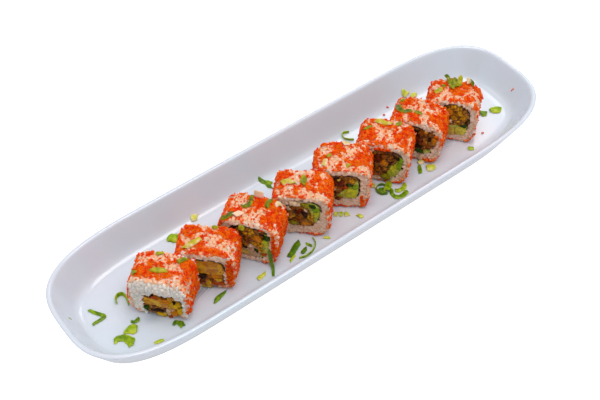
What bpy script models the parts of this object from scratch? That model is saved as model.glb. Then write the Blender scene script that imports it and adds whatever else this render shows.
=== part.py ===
"""Eight pieces of uramaki on a long rimmed plate, with spring onion on and round them.

Sizes are millimetres, and MM turns them into Blender's metres where a mesh is made.
The plate lies along X with the middle of its underside at the origin.
"""

import math
from types import SimpleNamespace

import bmesh
import bpy
from mathutils import Vector, noise

MM = 0.001
GAP = 0.3  # left between pieces that touch

PLATE_LENGTH = 400.0
PLATE_WIDTH = 109.0
PLATE_HEIGHT = 28.6
FLOOR_HEIGHT = 5.0
END_LENGTH = 97.4  # of each rounded end, past the straight sides
END_POWER = 3.1  # 2 is an ellipse, and more is squarer
END_STEPS = 22
# Each ring of the plate's surface, as inset from the rim and height.
PLATE_OUTSIDE = ((18.0, 1.4), (16.6, 0.0), (13.0, 0.0), (12.1, 0.9), (6.0, 14.2), (0.8, 26.0), (0.0, 27.5))
PLATE_LIP = ((0.9, 28.5), (2.2, PLATE_HEIGHT), (3.4, 27.6))
PLATE_INSIDE = ((4.4, 25.6), (9.4, 15.0), (12.4, 9.2), (15.4, 6.2), (19.5, FLOOR_HEIGHT))

ROLL_POWER = 3.8  # of the rounded square that a roll's cut face is
SLUMP = -0.01  # how much wider a roll is at its foot than at half height
EDGE = 1.0  # the rice's rounding where the knife went through
BUMP = 1.1  # how far grains stand out of the rice
BUMP_SPACING = 2.6
NORI = 0.6
RICE_STEPS = 34
NORI_STEPS = 22
FILLING_STEPS = 20
RICE_DEPTH_STEPS = 5
FOOT_ANGLE = 49.0  # half the opening under a roll whose rice doesn't close, in degrees

RICE_PINK = (0.93, 0.74, 0.68)
NORI_GREEN = (0.012, 0.018, 0.010)
GLAZE = (0.82, 0.83, 0.88)
FILLING_COLOURS = {
    "omelette": (0.72, 0.36, 0.02),
    "tempura": (0.23, 0.08, 0.015),
    "avocado": (0.36, 0.42, 0.04),
    "prawn": (0.72, 0.55, 0.44),
    "crab": (0.48, 0.13, 0.03),
}
ONION_GREEN = (0.10, 0.26, 0.01)
ONION_PALE = (0.52, 0.62, 0.16)


def roll(x, y, turn, width, height, depth, core, layers, open_foot=False, onions=()):
    """One piece: its place and turn on the plate, its size, the nori's outline as (middle x, middle z,
    half width, half height, power, tilt), the fillings in it, and the spring onion on top."""
    return SimpleNamespace(**locals())


def strip(*path, width=2.4, thick=1.0, ends=0.5, grow=1.0, pale=False):
    """A cut of spring onion that follows a path: width is across it, and grow times that at its far end.
    Thick is upwards, and ends is how much of the width is left at its tips."""
    return SimpleNamespace(**locals())


# A layer is what it is, a point (x, z) of the cut that bounds it, and the way it lies from there in degrees.
# It takes that side of what is left of the core, and the last layer takes the rest.
ROLLS = (
    roll(
        -129.1, -8.3, -49.0, 40.4, 37.0, 25.0, (1.8, 11.5, 13.8, 13.0, 3.0, -5.0),
        (("omelette", (0.0, 10.3), 86.0), ("tempura", (4.0, 5.0), 178.0), ("prawn", None, None)),
        open_foot=True,
        onions=(
            strip((-4.8, 3.7), (0.0, 3.2), (4.4, 2.0), width=4.0, ends=0.7),
            strip((-17.0, 4.4), (-15.4, 7.6), width=3.4),
            strip((-6.0, -9.6), (-1.0, -11.0), width=2.2),
            strip((9.6, -5.4), (12.0, -8.4), (14.4, -10.6)),
        ),
    ),
    roll(
        -93.1, -7.5, -43.0, 40.2, 37.0, 24.0, (0.0, 15.4, 13.0, 14.6, 3.8, -4.0),
        (("omelette", (0.0, 14.6), 92.0), ("tempura", (0.0, 8.4), 90.0), ("crab", None, None)),
        open_foot=True,
        onions=(strip((-13.1, 9.0), (-8.6, 4.8), (-3.6, 0.4), width=4.0, pale=True),),
    ),
    roll(
        -55.7, -7.3, -52.5, 40.8, 40.4, 24.6, (1.4, 20.0, 14.4, 16.4, 3.2, -4.0),
        (("avocado", (10.6, 24.0), -8.0), ("tempura", (0.0, 16.0), 95.0), ("prawn", None, None)),
        onions=(
            strip((-18.2, 11.0), (-14.6, 10.0), (-11.4, 6.6), width=3.4),
            strip((-9.4, 8.8), (-6.2, 5.8), width=4.2, thick=3.4, pale=True),
            strip((-3.4, -10.6), (-2.4, -5.0), (-4.2, -1.2), (-7.8, -0.8), width=3.0),
            strip((-1.6, -10.0), (5.0, -10.4), width=3.0, thick=9.0, pale=True),
            strip((11.2, -10.4), (8.8, -8.2), (9.2, -3.6), width=2.2),
            strip((14.0, -9.8), (17.0, -8.6), width=4.6, thick=3.0, pale=True),
        ),
    ),
    roll(
        -14.2, -9.2, -43.5, 40.2, 40.0, 25.4, (1.2, 22.0, 12.6, 13.8, 2.9, -8.0),
        (("prawn", (-4.0, 29.0), 115.0), ("avocado", (7.0, 22.0), 15.0), ("tempura", None, None)),
        onions=(
            strip((-14.6, 1.7), (-10.3, -0.6), (-6.0, 1.7), width=3.4, pale=True),
            strip((0.8, -6.0), (0.0, 2.8), width=3.8),
        ),
    ),
    roll(
        23.9, -6.5, -42.0, 40.0, 39.4, 26.4, (0.4, 20.9, 12.4, 12.6, 4.4, 0.0),
        (("avocado", (3.6, 20.6), -42.0), ("tempura", None, None)),
        onions=(
            strip((2.4, 9.4), (5.2, 9.0), width=3.4),
            strip((-13.4, 10.0), (-12.0, 3.6), width=3.0, pale=True),
            strip((-1.2, -11.2), (4.2, -10.8), width=3.6, thick=2.4, pale=True),
        ),
    ),
    roll(
        63.5, -6.5, -49.6, 38.6, 38.4, 26.0, (1.6, 18.4, 14.0, 14.8, 2.7, -6.0),
        (("avocado", (7.4, 17.0), -24.0), ("tempura", None, None)),
        onions=(
            strip((-8.9, -9.6), (-2.7, -8.0), (3.4, -7.6), width=4.4, pale=True),
            strip((5.4, -8.2), (9.8, -10.6), width=2.2),
            strip((-16.0, -1.0), (-10.9, -4.0), width=2.0),
        ),
    ),
    roll(
        97.1, -5.5, -54.6, 39.6, 38.6, 24.4, (2.8, 20.4, 14.0, 12.8, 2.9, -13.0),
        (("avocado", (6.0, 11.4), -72.0), ("tempura", None, None)),
        onions=(
            strip((-17.2, -4.6), (-15.2, 1.4), (-10.4, 4.3), (-6.9, 2.6), width=4.0),
            strip((-3.8, 2.2), (2.1, 3.8), width=2.2),
        ),
    ),
    roll(
        130.3, -6.8, -49.6, 38.8, 40.2, 23.0, (2.8, 21.8, 11.4, 15.6, 2.7, 4.0),
        (("avocado", (5.0, 16.8), -96.0), ("tempura", None, None)),
        onions=(
            strip((-14.4, 0.9), (-8.7, -4.2), width=3.6, thick=1.4, pale=True),
            strip((-7.4, -4.8), (-3.0, -8.6), (0.6, -4.6), width=4.2, thick=3.8),
            strip((3.4, -6.6), (2.6, -9.8), width=2.2, thick=5.6, pale=True),
            strip((8.0, -9.6), (13.2, -9.0), width=3.0, thick=2.2),
        ),
    ),
)

# Spring onion on the plate, from its left end to its right: node name and shape, in plate coordinates.
SCATTERED = {
    "onion_fork_1": strip(
        (-174.4, 16.3), (-171.6, 10.6), (-168.4, 5.6), (-173.2, 4.8), (-178.4, 4.6), width=2.3
    ),
    "onion_strand_1": strip(
        (-174.0, -15.4), (-170.5, -14.9), (-166.4, -17.8), (-163.8, -24.0), width=3.0, grow=2.6
    ),
    "onion_piece_1": strip((-163.0, -12.2), (-156.4, -16.0), width=6.8, thick=2.0, ends=0.7),
    "onion_sliver_1": strip((-157.0, -8.4), (-154.8, -10.6), (-151.0, -9.4), width=2.3, ends=0.3),
    "onion_hook": strip(
        (-156.4, 8.6), (-154.8, 12.6), (-151.2, 13.0), (-150.4, 9.2), (-152.0, 3.4), width=2.2, thick=4.4
    ),
    "onion_pale_1": strip((-153.8, -32.4), (-147.4, -34.0), width=2.2, pale=True),
    "onion_sliver_2": strip((-136.4, -28.2), (-133.0, -26.9), (-133.0, -33.2), width=1.6, thick=3.4),
    "onion_leaf_1": strip((-104.8, -29.4), (-98.4, -27.8), (-93.2, -27.2), width=3.8, ends=0.3),
    "onion_piece_2": strip((-99.6, 35.4), (-93.6, 30.0), width=8.0, thick=2.4, ends=0.8),
    "onion_pale_2": strip((-77.6, 39.0), (-72.4, 38.2), width=4.4, thick=1.6, pale=True),
    "onion_pale_3": strip((-70.6, -32.3), (-62.8, -31.0), width=3.2, thick=1.6, pale=True),
    "onion_strip_1": strip(
        (-28.2, -23.8), (-32.6, -25.4), (-37.4, -28.0), (-42.0, -30.4), width=4.2, ends=0.85
    ),
    "onion_leaf_2": strip((-33.4, -32.8), (-27.4, -31.2), width=2.8, ends=0.3),
    "onion_arc_1": strip(
        (-18.8, -26.4), (-20.0, -31.6), (-25.9, -35.9), (-32.4, -36.9), (-37.2, -35.2), width=1.8, thick=2.4
    ),
    "onion_fork_2": strip((-17.2, 40.4), (-14.6, 35.0), (-14.2, 27.6), width=3.8),
    "onion_curl_1": strip((66.2, 36.4), (61.2, 37.8), (60.2, 33.2), (65.0, 29.0), width=1.8, thick=2.8),
    "onion_curl_2": strip(
        (49.6, -28.0), (45.6, -25.6), (44.9, -21.0), (48.2, -18.4), (52.0, -19.6), (53.2, -22.8),
        width=2.4, thick=4.0
    ),
    "onion_strand_2": strip(
        (55.0, -26.4), (52.4, -31.0), (54.4, -35.8), (59.2, -36.6), (63.2, -35.2),
        width=2.4, thick=1.8, grow=1.7
    ),
    "onion_arc_2": strip((57.4, -29.6), (60.8, -31.2), (64.6, -31.6), width=2.6, thick=2.2, pale=True),
    "onion_stick": strip((86.6, -21.0), (81.8, -28.0), width=2.8, thick=1.8),
    "onion_piece_3": strip((88.8, -26.6), (95.2, -29.0), width=6.6, thick=1.8, ends=0.7, pale=True),
    "onion_piece_4": strip((160.0, -9.2), (165.0, -12.8), width=5.6, thick=2.2),
    "onion_piece_5": strip((168.8, -11.8), (177.2, -16.2), width=7.2, thick=1.8, ends=0.4),
}


def new_collection(name):
    made = bpy.data.collections.new(name)
    bpy.context.scene.collection.children.link(made)
    return made


def material(name, colour, roughness):
    made = bpy.data.materials.new(name)
    made.use_nodes = True
    shader = made.node_tree.nodes["Principled BSDF"]
    shader.inputs["Base Color"].default_value = (*colour, 1.0)
    shader.inputs["Roughness"].default_value = roughness
    return made


def add_object(name, bm, finish, collection, parent=None):
    """Turns a bmesh in millimetres into an object in metres, with its faces pointing out."""
    bmesh.ops.recalc_face_normals(bm, faces=bm.faces)
    bmesh.ops.scale(bm, vec=(MM, MM, MM), verts=bm.verts)
    bmesh.ops.triangulate(bm, faces=bm.faces)
    mesh = bpy.data.meshes.new(name)
    bm.to_mesh(mesh)
    bm.free()
    mesh.materials.append(finish)
    mesh.shade_smooth()
    mesh.set_sharp_from_angle(angle=math.radians(40))
    made = bpy.data.objects.new(name, mesh)
    made.parent = parent
    collection.objects.link(made)
    return made


def loft(bm, stations, closed):
    """Joins loops of equal length into one surface. An open row of loops is capped at both ends."""
    loops = [[bm.verts.new(point) for point in station] for station in stations]
    count = len(loops[0])
    pairs = list(zip(loops, loops[1:]))
    if closed:
        pairs.append((loops[-1], loops[0]))
    else:
        bm.faces.new(loops[0])
        bm.faces.new(reversed(loops[-1]))
    for near, far in pairs:
        for i in range(count):
            j = (i + 1) % count
            bm.faces.new((near[i], near[j], far[j], far[i]))


def power_radius(angle, half_width, half_height, power):
    """Distance from the middle of a rounded rectangle to its outline."""
    across = abs(math.cos(angle)) / half_width
    up = abs(math.sin(angle)) / half_height
    return (across**power + up**power) ** (-1 / power)


def plate_ring(inset, z):
    """The plate's outline at a height: two rounded ends and the straight sides between them."""
    straight = PLATE_LENGTH / 2 - END_LENGTH
    long_half = END_LENGTH - inset
    wide_half = PLATE_WIDTH / 2 - inset
    points = []
    for side in (1, -1):
        for i in range(END_STEPS + 1):
            turn = math.pi * (i / END_STEPS - 0.5)
            x = straight + long_half * math.cos(turn) ** (2 / END_POWER) if 0 < i < END_STEPS else straight
            y = math.copysign(wide_half * abs(math.sin(turn)) ** (2 / END_POWER), turn)
            points.append((side * x, side * y, z))
    return points


def plate_surface(x, y):
    """Height of the plate's upper surface at a point inside its lip."""
    straight = PLATE_LENGTH / 2 - END_LENGTH
    past = max(0.0, abs(x) - straight)
    low, high = 0.0, END_LENGTH / 2
    for _ in range(30):
        inset = (low + high) / 2
        reach = (past / (END_LENGTH - inset)) ** END_POWER + (abs(y) / (PLATE_WIDTH / 2 - inset)) ** END_POWER
        if reach > 1:
            high = inset
        else:
            low = inset
    for (inset_a, z_a), (inset_b, z_b) in zip(PLATE_INSIDE, PLATE_INSIDE[1:]):
        if inset_a <= inset <= inset_b:
            return z_a + (z_b - z_a) * (inset - inset_a) / (inset_b - inset_a)
    return FLOOR_HEIGHT


def smooth_path(points, steps):
    """Points along a curve through the given ones."""
    ends = [points[0] * 2 - points[1], *points, points[-1] * 2 - points[-2]]
    path = []
    for a, b, c, d in zip(ends, ends[1:], ends[2:], ends[3:]):
        for i in range(steps):
            t = i / steps
            square = (2 * a - 5 * b + 4 * c - d) * t**2
            cube = (3 * b - a - 3 * c + d) * t**3
            path.append(0.5 * (2 * b + (c - a) * t + square + cube))
    path.append(points[-1])
    return path


def strip_loft(bm, piece, height_at, steps=2):
    """A strip of spring onion lying on the height that height_at gives, wavy and narrower at its ends."""
    path = smooth_path([Vector((x, y)) for x, y in piece.path], steps if len(piece.path) > 2 else steps + 1)
    last = len(path) - 1
    stations = []
    for i, point in enumerate(path):
        ahead = (path[min(i + 1, last)] - path[max(i - 1, 0)]).normalized()
        side = Vector((-ahead.y, ahead.x)) * piece.width / 2
        side *= piece.ends + (1 - piece.ends) * math.sin(math.pi * i / last) ** 0.5
        side *= 1 + (piece.grow - 1) * i / last
        tall = piece.thick * (0.9 + 0.1 * math.sin(2.1 * i))
        left, right = point + side, point - side
        left_foot, right_foot = height_at(*left), height_at(*right)
        stations.append(
            ((*left, left_foot), (*right, right_foot), (*right, right_foot + tall), (*left, left_foot + tall))
        )
    loft(bm, stations, closed=False)


def outline_point(piece, angle):
    """A point (x, z) on a roll's outline, seen from its middle, before the grains."""
    reach = power_radius(angle, piece.width / 2, piece.height / 2, ROLL_POWER)
    reach *= 1 + 0.012 * math.sin(3 * angle + piece.x) + 0.010 * math.sin(5 * angle + piece.y)
    z = piece.height / 2 + reach * math.sin(angle)
    x = reach * math.cos(angle) * (1 + SLUMP * (1 - 2 * z / piece.height))
    return Vector((x, max(z, 0.0)))


def outline_angles(piece, steps):
    """Angles, from the middle of the foot round to it again, whose outline points lie evenly apart."""
    fine = 720
    start = -math.pi / 2
    turns = [start + 2 * math.pi * i / fine for i in range(fine + 1)]
    points = [outline_point(piece, turn) for turn in turns]
    travelled = [0.0]
    for a, b in zip(points, points[1:]):
        travelled.append(travelled[-1] + (b - a).length)
    skip = math.radians(FOOT_ANGLE) if piece.open_foot else 0.0
    first = next(i for i, turn in enumerate(turns) if turn >= start + skip)
    begin, end = travelled[first], travelled[-1 - first]
    count = steps if piece.open_foot else steps + 1
    wanted = [begin + (end - begin) * i / (count - 1) for i in range(count)]
    angles = []
    i = 0
    for distance in wanted[: steps]:
        while travelled[i + 1] < distance and i < fine - 1:
            i += 1
        angles.append(turns[i])
    return angles


def core_point(piece, toward, outset):
    """A point (x, z) of the nori's outline, moved out by outset, in the direction of an angle."""
    x, z, half_width, half_height, power, tilt = piece.core
    reach = power_radius(toward - math.radians(tilt), half_width + outset, half_height + outset, power)
    return Vector((x + reach * math.cos(toward), max(z + reach * math.sin(toward), 0.0)))


def core_direction(piece, outer):
    """The angle at which a point of the roll's outline is seen from the middle of the core."""
    return math.atan2(outer.y - piece.core[1], outer.x - piece.core[0])


def grains(point, seed, scale=1.0):
    return BUMP * scale * noise.noise(Vector(point) / BUMP_SPACING + Vector((seed, 0.0, 0.0)))


def rice_stations(piece, seed):
    """Round the roll, the loop of points that goes back over its outside and forward through its hole."""
    half = piece.depth / 2
    stations = []
    for angle in outline_angles(piece, RICE_STEPS):
        outer = outline_point(piece, angle)
        inner = core_point(piece, core_direction(piece, outer), GAP)
        outward = (outer - inner).normalized()
        middle = (outer + inner) / 2
        station = []
        for i in range(RICE_DEPTH_STEPS + 2):
            at_end = i in (0, RICE_DEPTH_STEPS + 1)
            y = -half + EDGE * 1.2 + (piece.depth - EDGE * 2.4) * (i - 1) / (RICE_DEPTH_STEPS - 1)
            y = math.copysign(half, y) if at_end else y
            out = outer - outward * EDGE if at_end else outer
            out = out + outward * grains((out.x, y, out.y), seed)
            station.append((out.x, y, max(out.y, 0.0)))
        swell = grains((middle.x, half, middle.y), seed, 1.2)
        station.append((middle.x, half + swell, middle.y))
        station.append((inner.x, half, inner.y))
        station.append((inner.x, -half, inner.y))
        swell = grains((middle.x, -half, middle.y), seed, 1.2)
        station.append((middle.x, -half - swell, middle.y))
        stations.append(station)
    return stations


def nori_stations(piece):
    half = piece.depth / 2 - GAP
    stations = []
    for angle in outline_angles(piece, NORI_STEPS):
        toward = core_direction(piece, outline_point(piece, angle))
        outer = core_point(piece, toward, 0.0)
        inner = core_point(piece, toward, -NORI)
        corners = ((outer, -half), (outer, half), (inner, half), (inner, -half))
        stations.append([(point.x, y, point.y) for point, y in corners])
    return stations


def core_mesh(piece, seed):
    """The whole filling inside the nori, with uneven cut faces."""
    half = piece.depth / 2 - GAP
    middle = Vector(piece.core[:2])
    bm = bmesh.new()
    stations = []
    for y, size in ((-half, 0.55), (-half, 1.0), (half, 1.0), (half, 0.55)):
        station = []
        for i in range(FILLING_STEPS):
            point = core_point(piece, math.tau * i / FILLING_STEPS, -NORI - GAP)
            point = middle + (point - middle) * size
            swell = 0.0 if size == 1.0 else 1.6 * noise.noise(Vector((point.x, seed, point.y)) / 4) + 0.3
            station.append((point.x, y + math.copysign(swell, y), point.y))
        stations.append(station)
    loft(bm, stations, closed=False)
    return bm


def keep_side(source, point, way):
    """The part of a closed mesh that lies past a point (x, z) in the direction of way, as a closed mesh."""
    bm = source.copy()
    forward = Vector((math.cos(way), 0.0, math.sin(way)))
    on_plane = Vector((point[0], 0.0, point[1])) + forward * GAP / 2
    geometry = [*bm.verts, *bm.edges, *bm.faces]
    cut = bmesh.ops.bisect_plane(bm, geom=geometry, plane_co=on_plane, plane_no=forward, clear_inner=True)
    rim = [part for part in cut["geom_cut"] if isinstance(part, bmesh.types.BMEdge)]
    bmesh.ops.contextual_create(bm, geom=rim)
    return bm


def add_fillings(number, piece, holder, collection):
    rest = core_mesh(piece, number)
    for kind, point, way in piece.layers:
        if point is None:
            layer = rest
        else:
            layer = keep_side(rest, point, math.radians(way))
            left_over = keep_side(rest, point, math.radians(way + 180))
            rest.free()
            rest = left_over
        add_object(f"{kind}_{number}", layer, finishes[kind], collection, holder)


def add_rice(number, piece, holder, collection, cutters):
    """The rice with the spring onion on it, joined into one solid."""
    bm = bmesh.new()
    loft(bm, rice_stations(piece, 10.0 * number), closed=not piece.open_foot)
    rice = add_object(f"rice_{number}", bm, finishes["rice"], collection, holder)

    def top_at(x, _):
        side = min(abs(x) / (piece.width / 2), 0.98)
        return piece.height / 2 * (1 + (1 - side**ROLL_POWER) ** (1 / ROLL_POWER)) - 0.9

    toppings = []
    for i, onion in enumerate(piece.onions):
        bm = bmesh.new()
        strip_loft(bm, onion, top_at)
        bmesh.ops.scale(bm, vec=(1, -1, 1), verts=bm.verts)
        toppings.append(add_object(f"topping_{number}_{i}", bm, finishes["onion"], cutters, holder))
    group = bpy.data.collections.new(f"toppings_{number}")
    for topping in toppings:
        group.objects.link(topping)
    join = rice.modifiers.new("toppings", "BOOLEAN")
    join.operation = "UNION"
    join.solver = "EXACT"
    join.operand_type = "COLLECTION"
    join.collection = group
    bpy.context.view_layer.update()
    joined = bpy.data.meshes.new_from_object(rice.evaluated_get(bpy.context.evaluated_depsgraph_get()))
    rice.modifiers.clear()
    rice.data = joined
    for topping in toppings:
        bpy.data.objects.remove(topping)
    bpy.data.collections.remove(group)


def add_roll(number, piece, collection, cutters):
    holder = bpy.data.objects.new(f"roll_{number}", None)
    holder.location = (piece.x * MM, piece.y * MM, (FLOOR_HEIGHT + GAP) * MM)
    holder.rotation_euler.z = math.radians(piece.turn)
    collection.objects.link(holder)
    add_rice(number, piece, holder, collection, cutters)
    bm = bmesh.new()
    loft(bm, nori_stations(piece), closed=not piece.open_foot)
    add_object(f"nori_{number}", bm, finishes["nori"], collection, holder)
    add_fillings(number, piece, holder, collection)


def add_plate(collection):
    bm = bmesh.new()
    loft(bm, [plate_ring(*ring) for ring in PLATE_OUTSIDE + PLATE_LIP + PLATE_INSIDE], closed=False)
    return add_object("plate", bm, finishes["glaze"], collection)


def add_scattered(collection):
    for name, piece in SCATTERED.items():
        bm = bmesh.new()
        strip_loft(bm, piece, lambda x, y: plate_surface(x, y) + GAP)
        add_object(name, bm, finishes["onion_pale" if piece.pale else "onion"], collection)


for old in list(bpy.data.objects):
    bpy.data.objects.remove(old)

finishes = {kind: material(kind, colour, 0.5) for kind, colour in FILLING_COLOURS.items()}
finishes["rice"] = material("rice", RICE_PINK, 0.55)
finishes["nori"] = material("nori", NORI_GREEN, 0.45)
finishes["glaze"] = material("glaze", GLAZE, 0.12)
finishes["onion"] = material("onion", ONION_GREEN, 0.4)
finishes["onion_pale"] = material("onion_pale", ONION_PALE, 0.4)

platter = new_collection("uramaki_platter")
helpers = new_collection("cutters")
add_plate(platter)
for index, each in enumerate(ROLLS, 1):
    add_roll(index, each, platter, helpers)
add_scattered(platter)
bpy.context.view_layer.update()
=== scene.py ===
import math
import random

import bmesh
import bpy
import numpy as np
from mathutils import Matrix, Vector, noise
from mathutils.bvhtree import BVHTree


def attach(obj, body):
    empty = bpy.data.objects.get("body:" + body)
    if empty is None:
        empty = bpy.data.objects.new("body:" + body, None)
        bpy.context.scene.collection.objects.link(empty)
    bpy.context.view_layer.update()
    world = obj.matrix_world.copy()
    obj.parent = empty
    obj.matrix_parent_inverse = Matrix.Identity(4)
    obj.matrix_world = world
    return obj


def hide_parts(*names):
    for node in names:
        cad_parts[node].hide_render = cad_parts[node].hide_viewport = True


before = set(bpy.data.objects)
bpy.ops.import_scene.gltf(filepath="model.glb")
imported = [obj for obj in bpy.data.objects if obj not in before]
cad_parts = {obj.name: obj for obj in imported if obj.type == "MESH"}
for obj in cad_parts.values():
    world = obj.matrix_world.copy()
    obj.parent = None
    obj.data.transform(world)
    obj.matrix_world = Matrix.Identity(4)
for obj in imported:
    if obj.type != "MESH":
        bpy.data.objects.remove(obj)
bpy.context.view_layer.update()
print("solids loaded:", len(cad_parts))

mm = 0.001
gap = 0.3          # mm that the food stands off the plate
floorHeight = 5.0  # mm, top of the plate's floor
up = Vector((0, 0, 1))


# Colours and shader helpers

def tint(red, green, blue):
    # a screen colour from 0 to 255 as the linear colour that a shader takes
    shares = [value / 255 for value in (red, green, blue)]
    return tuple(s / 12.92 if s <= 0.04045 else ((s + 0.055) / 1.055) ** 2.4 for s in shares) + (1.0,)


def addNode(tree, kind, inputs=None, **settings):
    node = tree.nodes.new(kind)
    for name, value in settings.items():
        setattr(node, name, value)
    for name, value in (inputs or {}).items():
        if isinstance(value, bpy.types.NodeSocket):
            tree.links.new(value, node.inputs[name])
        else:
            node.inputs[name].default_value = value
    return node


def mixColours(tree, share, first, second, blend="MIX"):
    # the sockets that a colour mix uses are 0, 6 and 7, and its colour comes out of 2
    inputs = {0: share, 6: first, 7: second}
    return addNode(tree, "ShaderNodeMix", inputs, data_type="RGBA", blend_type=blend).outputs[2]


def startGroup(name, inputs, outputs):
    group = bpy.data.node_groups.new(name, "ShaderNodeTree")
    for title, value in inputs:
        kind = "NodeSocketColor" if isinstance(value, tuple) else "NodeSocketFloat"
        group.interface.new_socket(title, in_out="INPUT", socket_type=kind).default_value = value
    for title, kind in outputs:
        group.interface.new_socket(title, in_out="OUTPUT", socket_type=kind)
    return group, group.nodes.new("NodeGroupInput").outputs, group.nodes.new("NodeGroupOutput").inputs


def buildMottle():
    # two colours in soft patches, and a mask of how much of the second there is
    group, given, out = startGroup(
        "mottle",
        (("Colour A", (0.5, 0.5, 0.5, 1)), ("Colour B", (0.8, 0.8, 0.8, 1)), ("Cells", 300.0),
         ("Middle", 0.5), ("Softness", 0.1)),
        (("Colour", "NodeSocketColor"), ("Mask", "NodeSocketFloat")))
    place = addNode(group, "ShaderNodeTexCoord")
    cloud = addNode(group, "ShaderNodeTexNoise", {
        "Vector": place.outputs["Object"], "Scale": given["Cells"], "Detail": 3.0, "Roughness": 0.55})
    low = addNode(group, "ShaderNodeMath", {0: given["Middle"], 1: given["Softness"]}, operation="SUBTRACT")
    high = addNode(group, "ShaderNodeMath", {0: given["Middle"], 1: given["Softness"]}, operation="ADD")
    mask = addNode(group, "ShaderNodeMapRange", {
        "Value": cloud.outputs["Fac"], "From Min": low.outputs[0], "From Max": high.outputs[0]},
        interpolation_type="SMOOTHSTEP")
    mixed = mixColours(group, mask.outputs["Result"], given["Colour A"], given["Colour B"])
    group.links.new(mixed, out["Colour"])
    group.links.new(mask.outputs["Result"], out["Mask"])
    return group


def buildPits():
    # heights for a bump: broad lumps with finer ones on them
    group, given, out = startGroup(
        "pits", (("Broad", 400.0), ("Fine", 1500.0), ("Share", 0.4)), (("Height", "NodeSocketFloat"),))
    place = addNode(group, "ShaderNodeTexCoord")
    broad = addNode(group, "ShaderNodeTexNoise", {
        "Vector": place.outputs["Object"], "Scale": given["Broad"], "Detail": 2.0})
    fine = addNode(group, "ShaderNodeTexVoronoi", {
        "Vector": place.outputs["Object"], "Scale": given["Fine"]}, feature="SMOOTH_F1")
    mixed = addNode(group, "ShaderNodeMix", {
        0: given["Share"], 2: broad.outputs["Fac"], 3: fine.outputs["Distance"]})
    group.links.new(mixed.outputs[0], out["Height"])
    return group


def buildPieceByPiece():
    # a colour made darker by each small piece's own number
    group, given, out = startGroup(
        "pieceByPiece", (("Colour", (0.8, 0.8, 0.8, 1)), ("Spread", 0.2)), (("Colour", "NodeSocketColor"),))
    own = addNode(group, "ShaderNodeAttribute", attribute_name="shade")
    darkest = addNode(group, "ShaderNodeMath", {0: 1.0, 1: given["Spread"]}, operation="SUBTRACT")
    amount = addNode(group, "ShaderNodeMapRange", {
        "Value": own.outputs["Fac"], "To Min": darkest.outputs[0]})
    scaled = addNode(group, "ShaderNodeVectorMath", {
        0: given["Colour"], "Scale": amount.outputs["Result"]}, operation="SCALE")
    group.links.new(scaled.outputs["Vector"], out["Colour"])
    return group


groups = {"mottle": buildMottle(), "pits": buildPits(), "pieceByPiece": buildPieceByPiece()}


def newFinish(name, shaderValues):
    made = bpy.data.materials.new(name)
    made.use_nodes = True
    shader = made.node_tree.nodes["Principled BSDF"]
    for socket, value in shaderValues.items():
        shader.inputs[socket].default_value = value
    return made, made.node_tree, shader


def useGroup(tree, name, inputs):
    return addNode(tree, "ShaderNodeGroup", inputs, node_tree=groups[name])


def cells(size):
    # texture scale of patches that are size mm across
    return 1 / (size * mm)


def addRoughness(tree, shader, mask, low, high):
    # roughness from low to high with the mask
    rough = addNode(tree, "ShaderNodeMapRange", {"Value": mask, "To Min": low, "To Max": high})
    tree.links.new(rough.outputs["Result"], shader.inputs["Roughness"])


def addBump(tree, shader, broad, fine, share, depth):
    # lumps of two sizes and the depth in mm, and the fine ones' share
    pits = useGroup(tree, "pits", {"Broad": cells(broad), "Fine": cells(fine), "Share": share})
    bump = addNode(tree, "ShaderNodeBump", {"Height": pits.outputs["Height"], "Distance": depth * mm})
    tree.links.new(bump.outputs["Normal"], shader.inputs["Normal"])


# Finishes

glazeLook = dict(cool=tint(207, 219, 229), warm=tint(215, 217, 226), foot=tint(214, 206, 196),
                 patch=90.0, footTop=0.0012, roughness=0.16, footRoughness=0.75)


def glazeFinish():
    # white stoneware under a clear glaze, bare and rough on the foot that it stands on
    look = glazeLook
    made, tree, shader = newFinish("glaze", {"Coat Weight": 0.5, "Coat Roughness": 0.08, "IOR": 1.5})
    mottle = useGroup(tree, "mottle", {
        "Colour A": look["cool"], "Colour B": look["warm"], "Cells": cells(look["patch"]), "Softness": 0.25})
    place = addNode(tree, "ShaderNodeTexCoord")
    height = addNode(tree, "ShaderNodeSeparateXYZ", {0: place.outputs["Object"]})
    glazed = addNode(tree, "ShaderNodeMapRange", {
        "Value": height.outputs["Z"], "From Min": look["footTop"] / 3, "From Max": look["footTop"]})
    colour = mixColours(tree, glazed.outputs["Result"], look["foot"], mottle.outputs["Colour"])
    tree.links.new(colour, shader.inputs["Base Color"])
    addRoughness(tree, shader, glazed.outputs["Result"], look["footRoughness"], look["roughness"])
    addBump(tree, shader, broad=14, fine=1.6, share=0.1, depth=0.05)
    return made


riceLook = dict(white=tint(246, 234, 222), pink=tint(252, 191, 152), juice=tint(252, 116, 36),
                spread=0.07, dim=(0.93, 0.93, 0.93, 1), patch=3.2)


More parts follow.
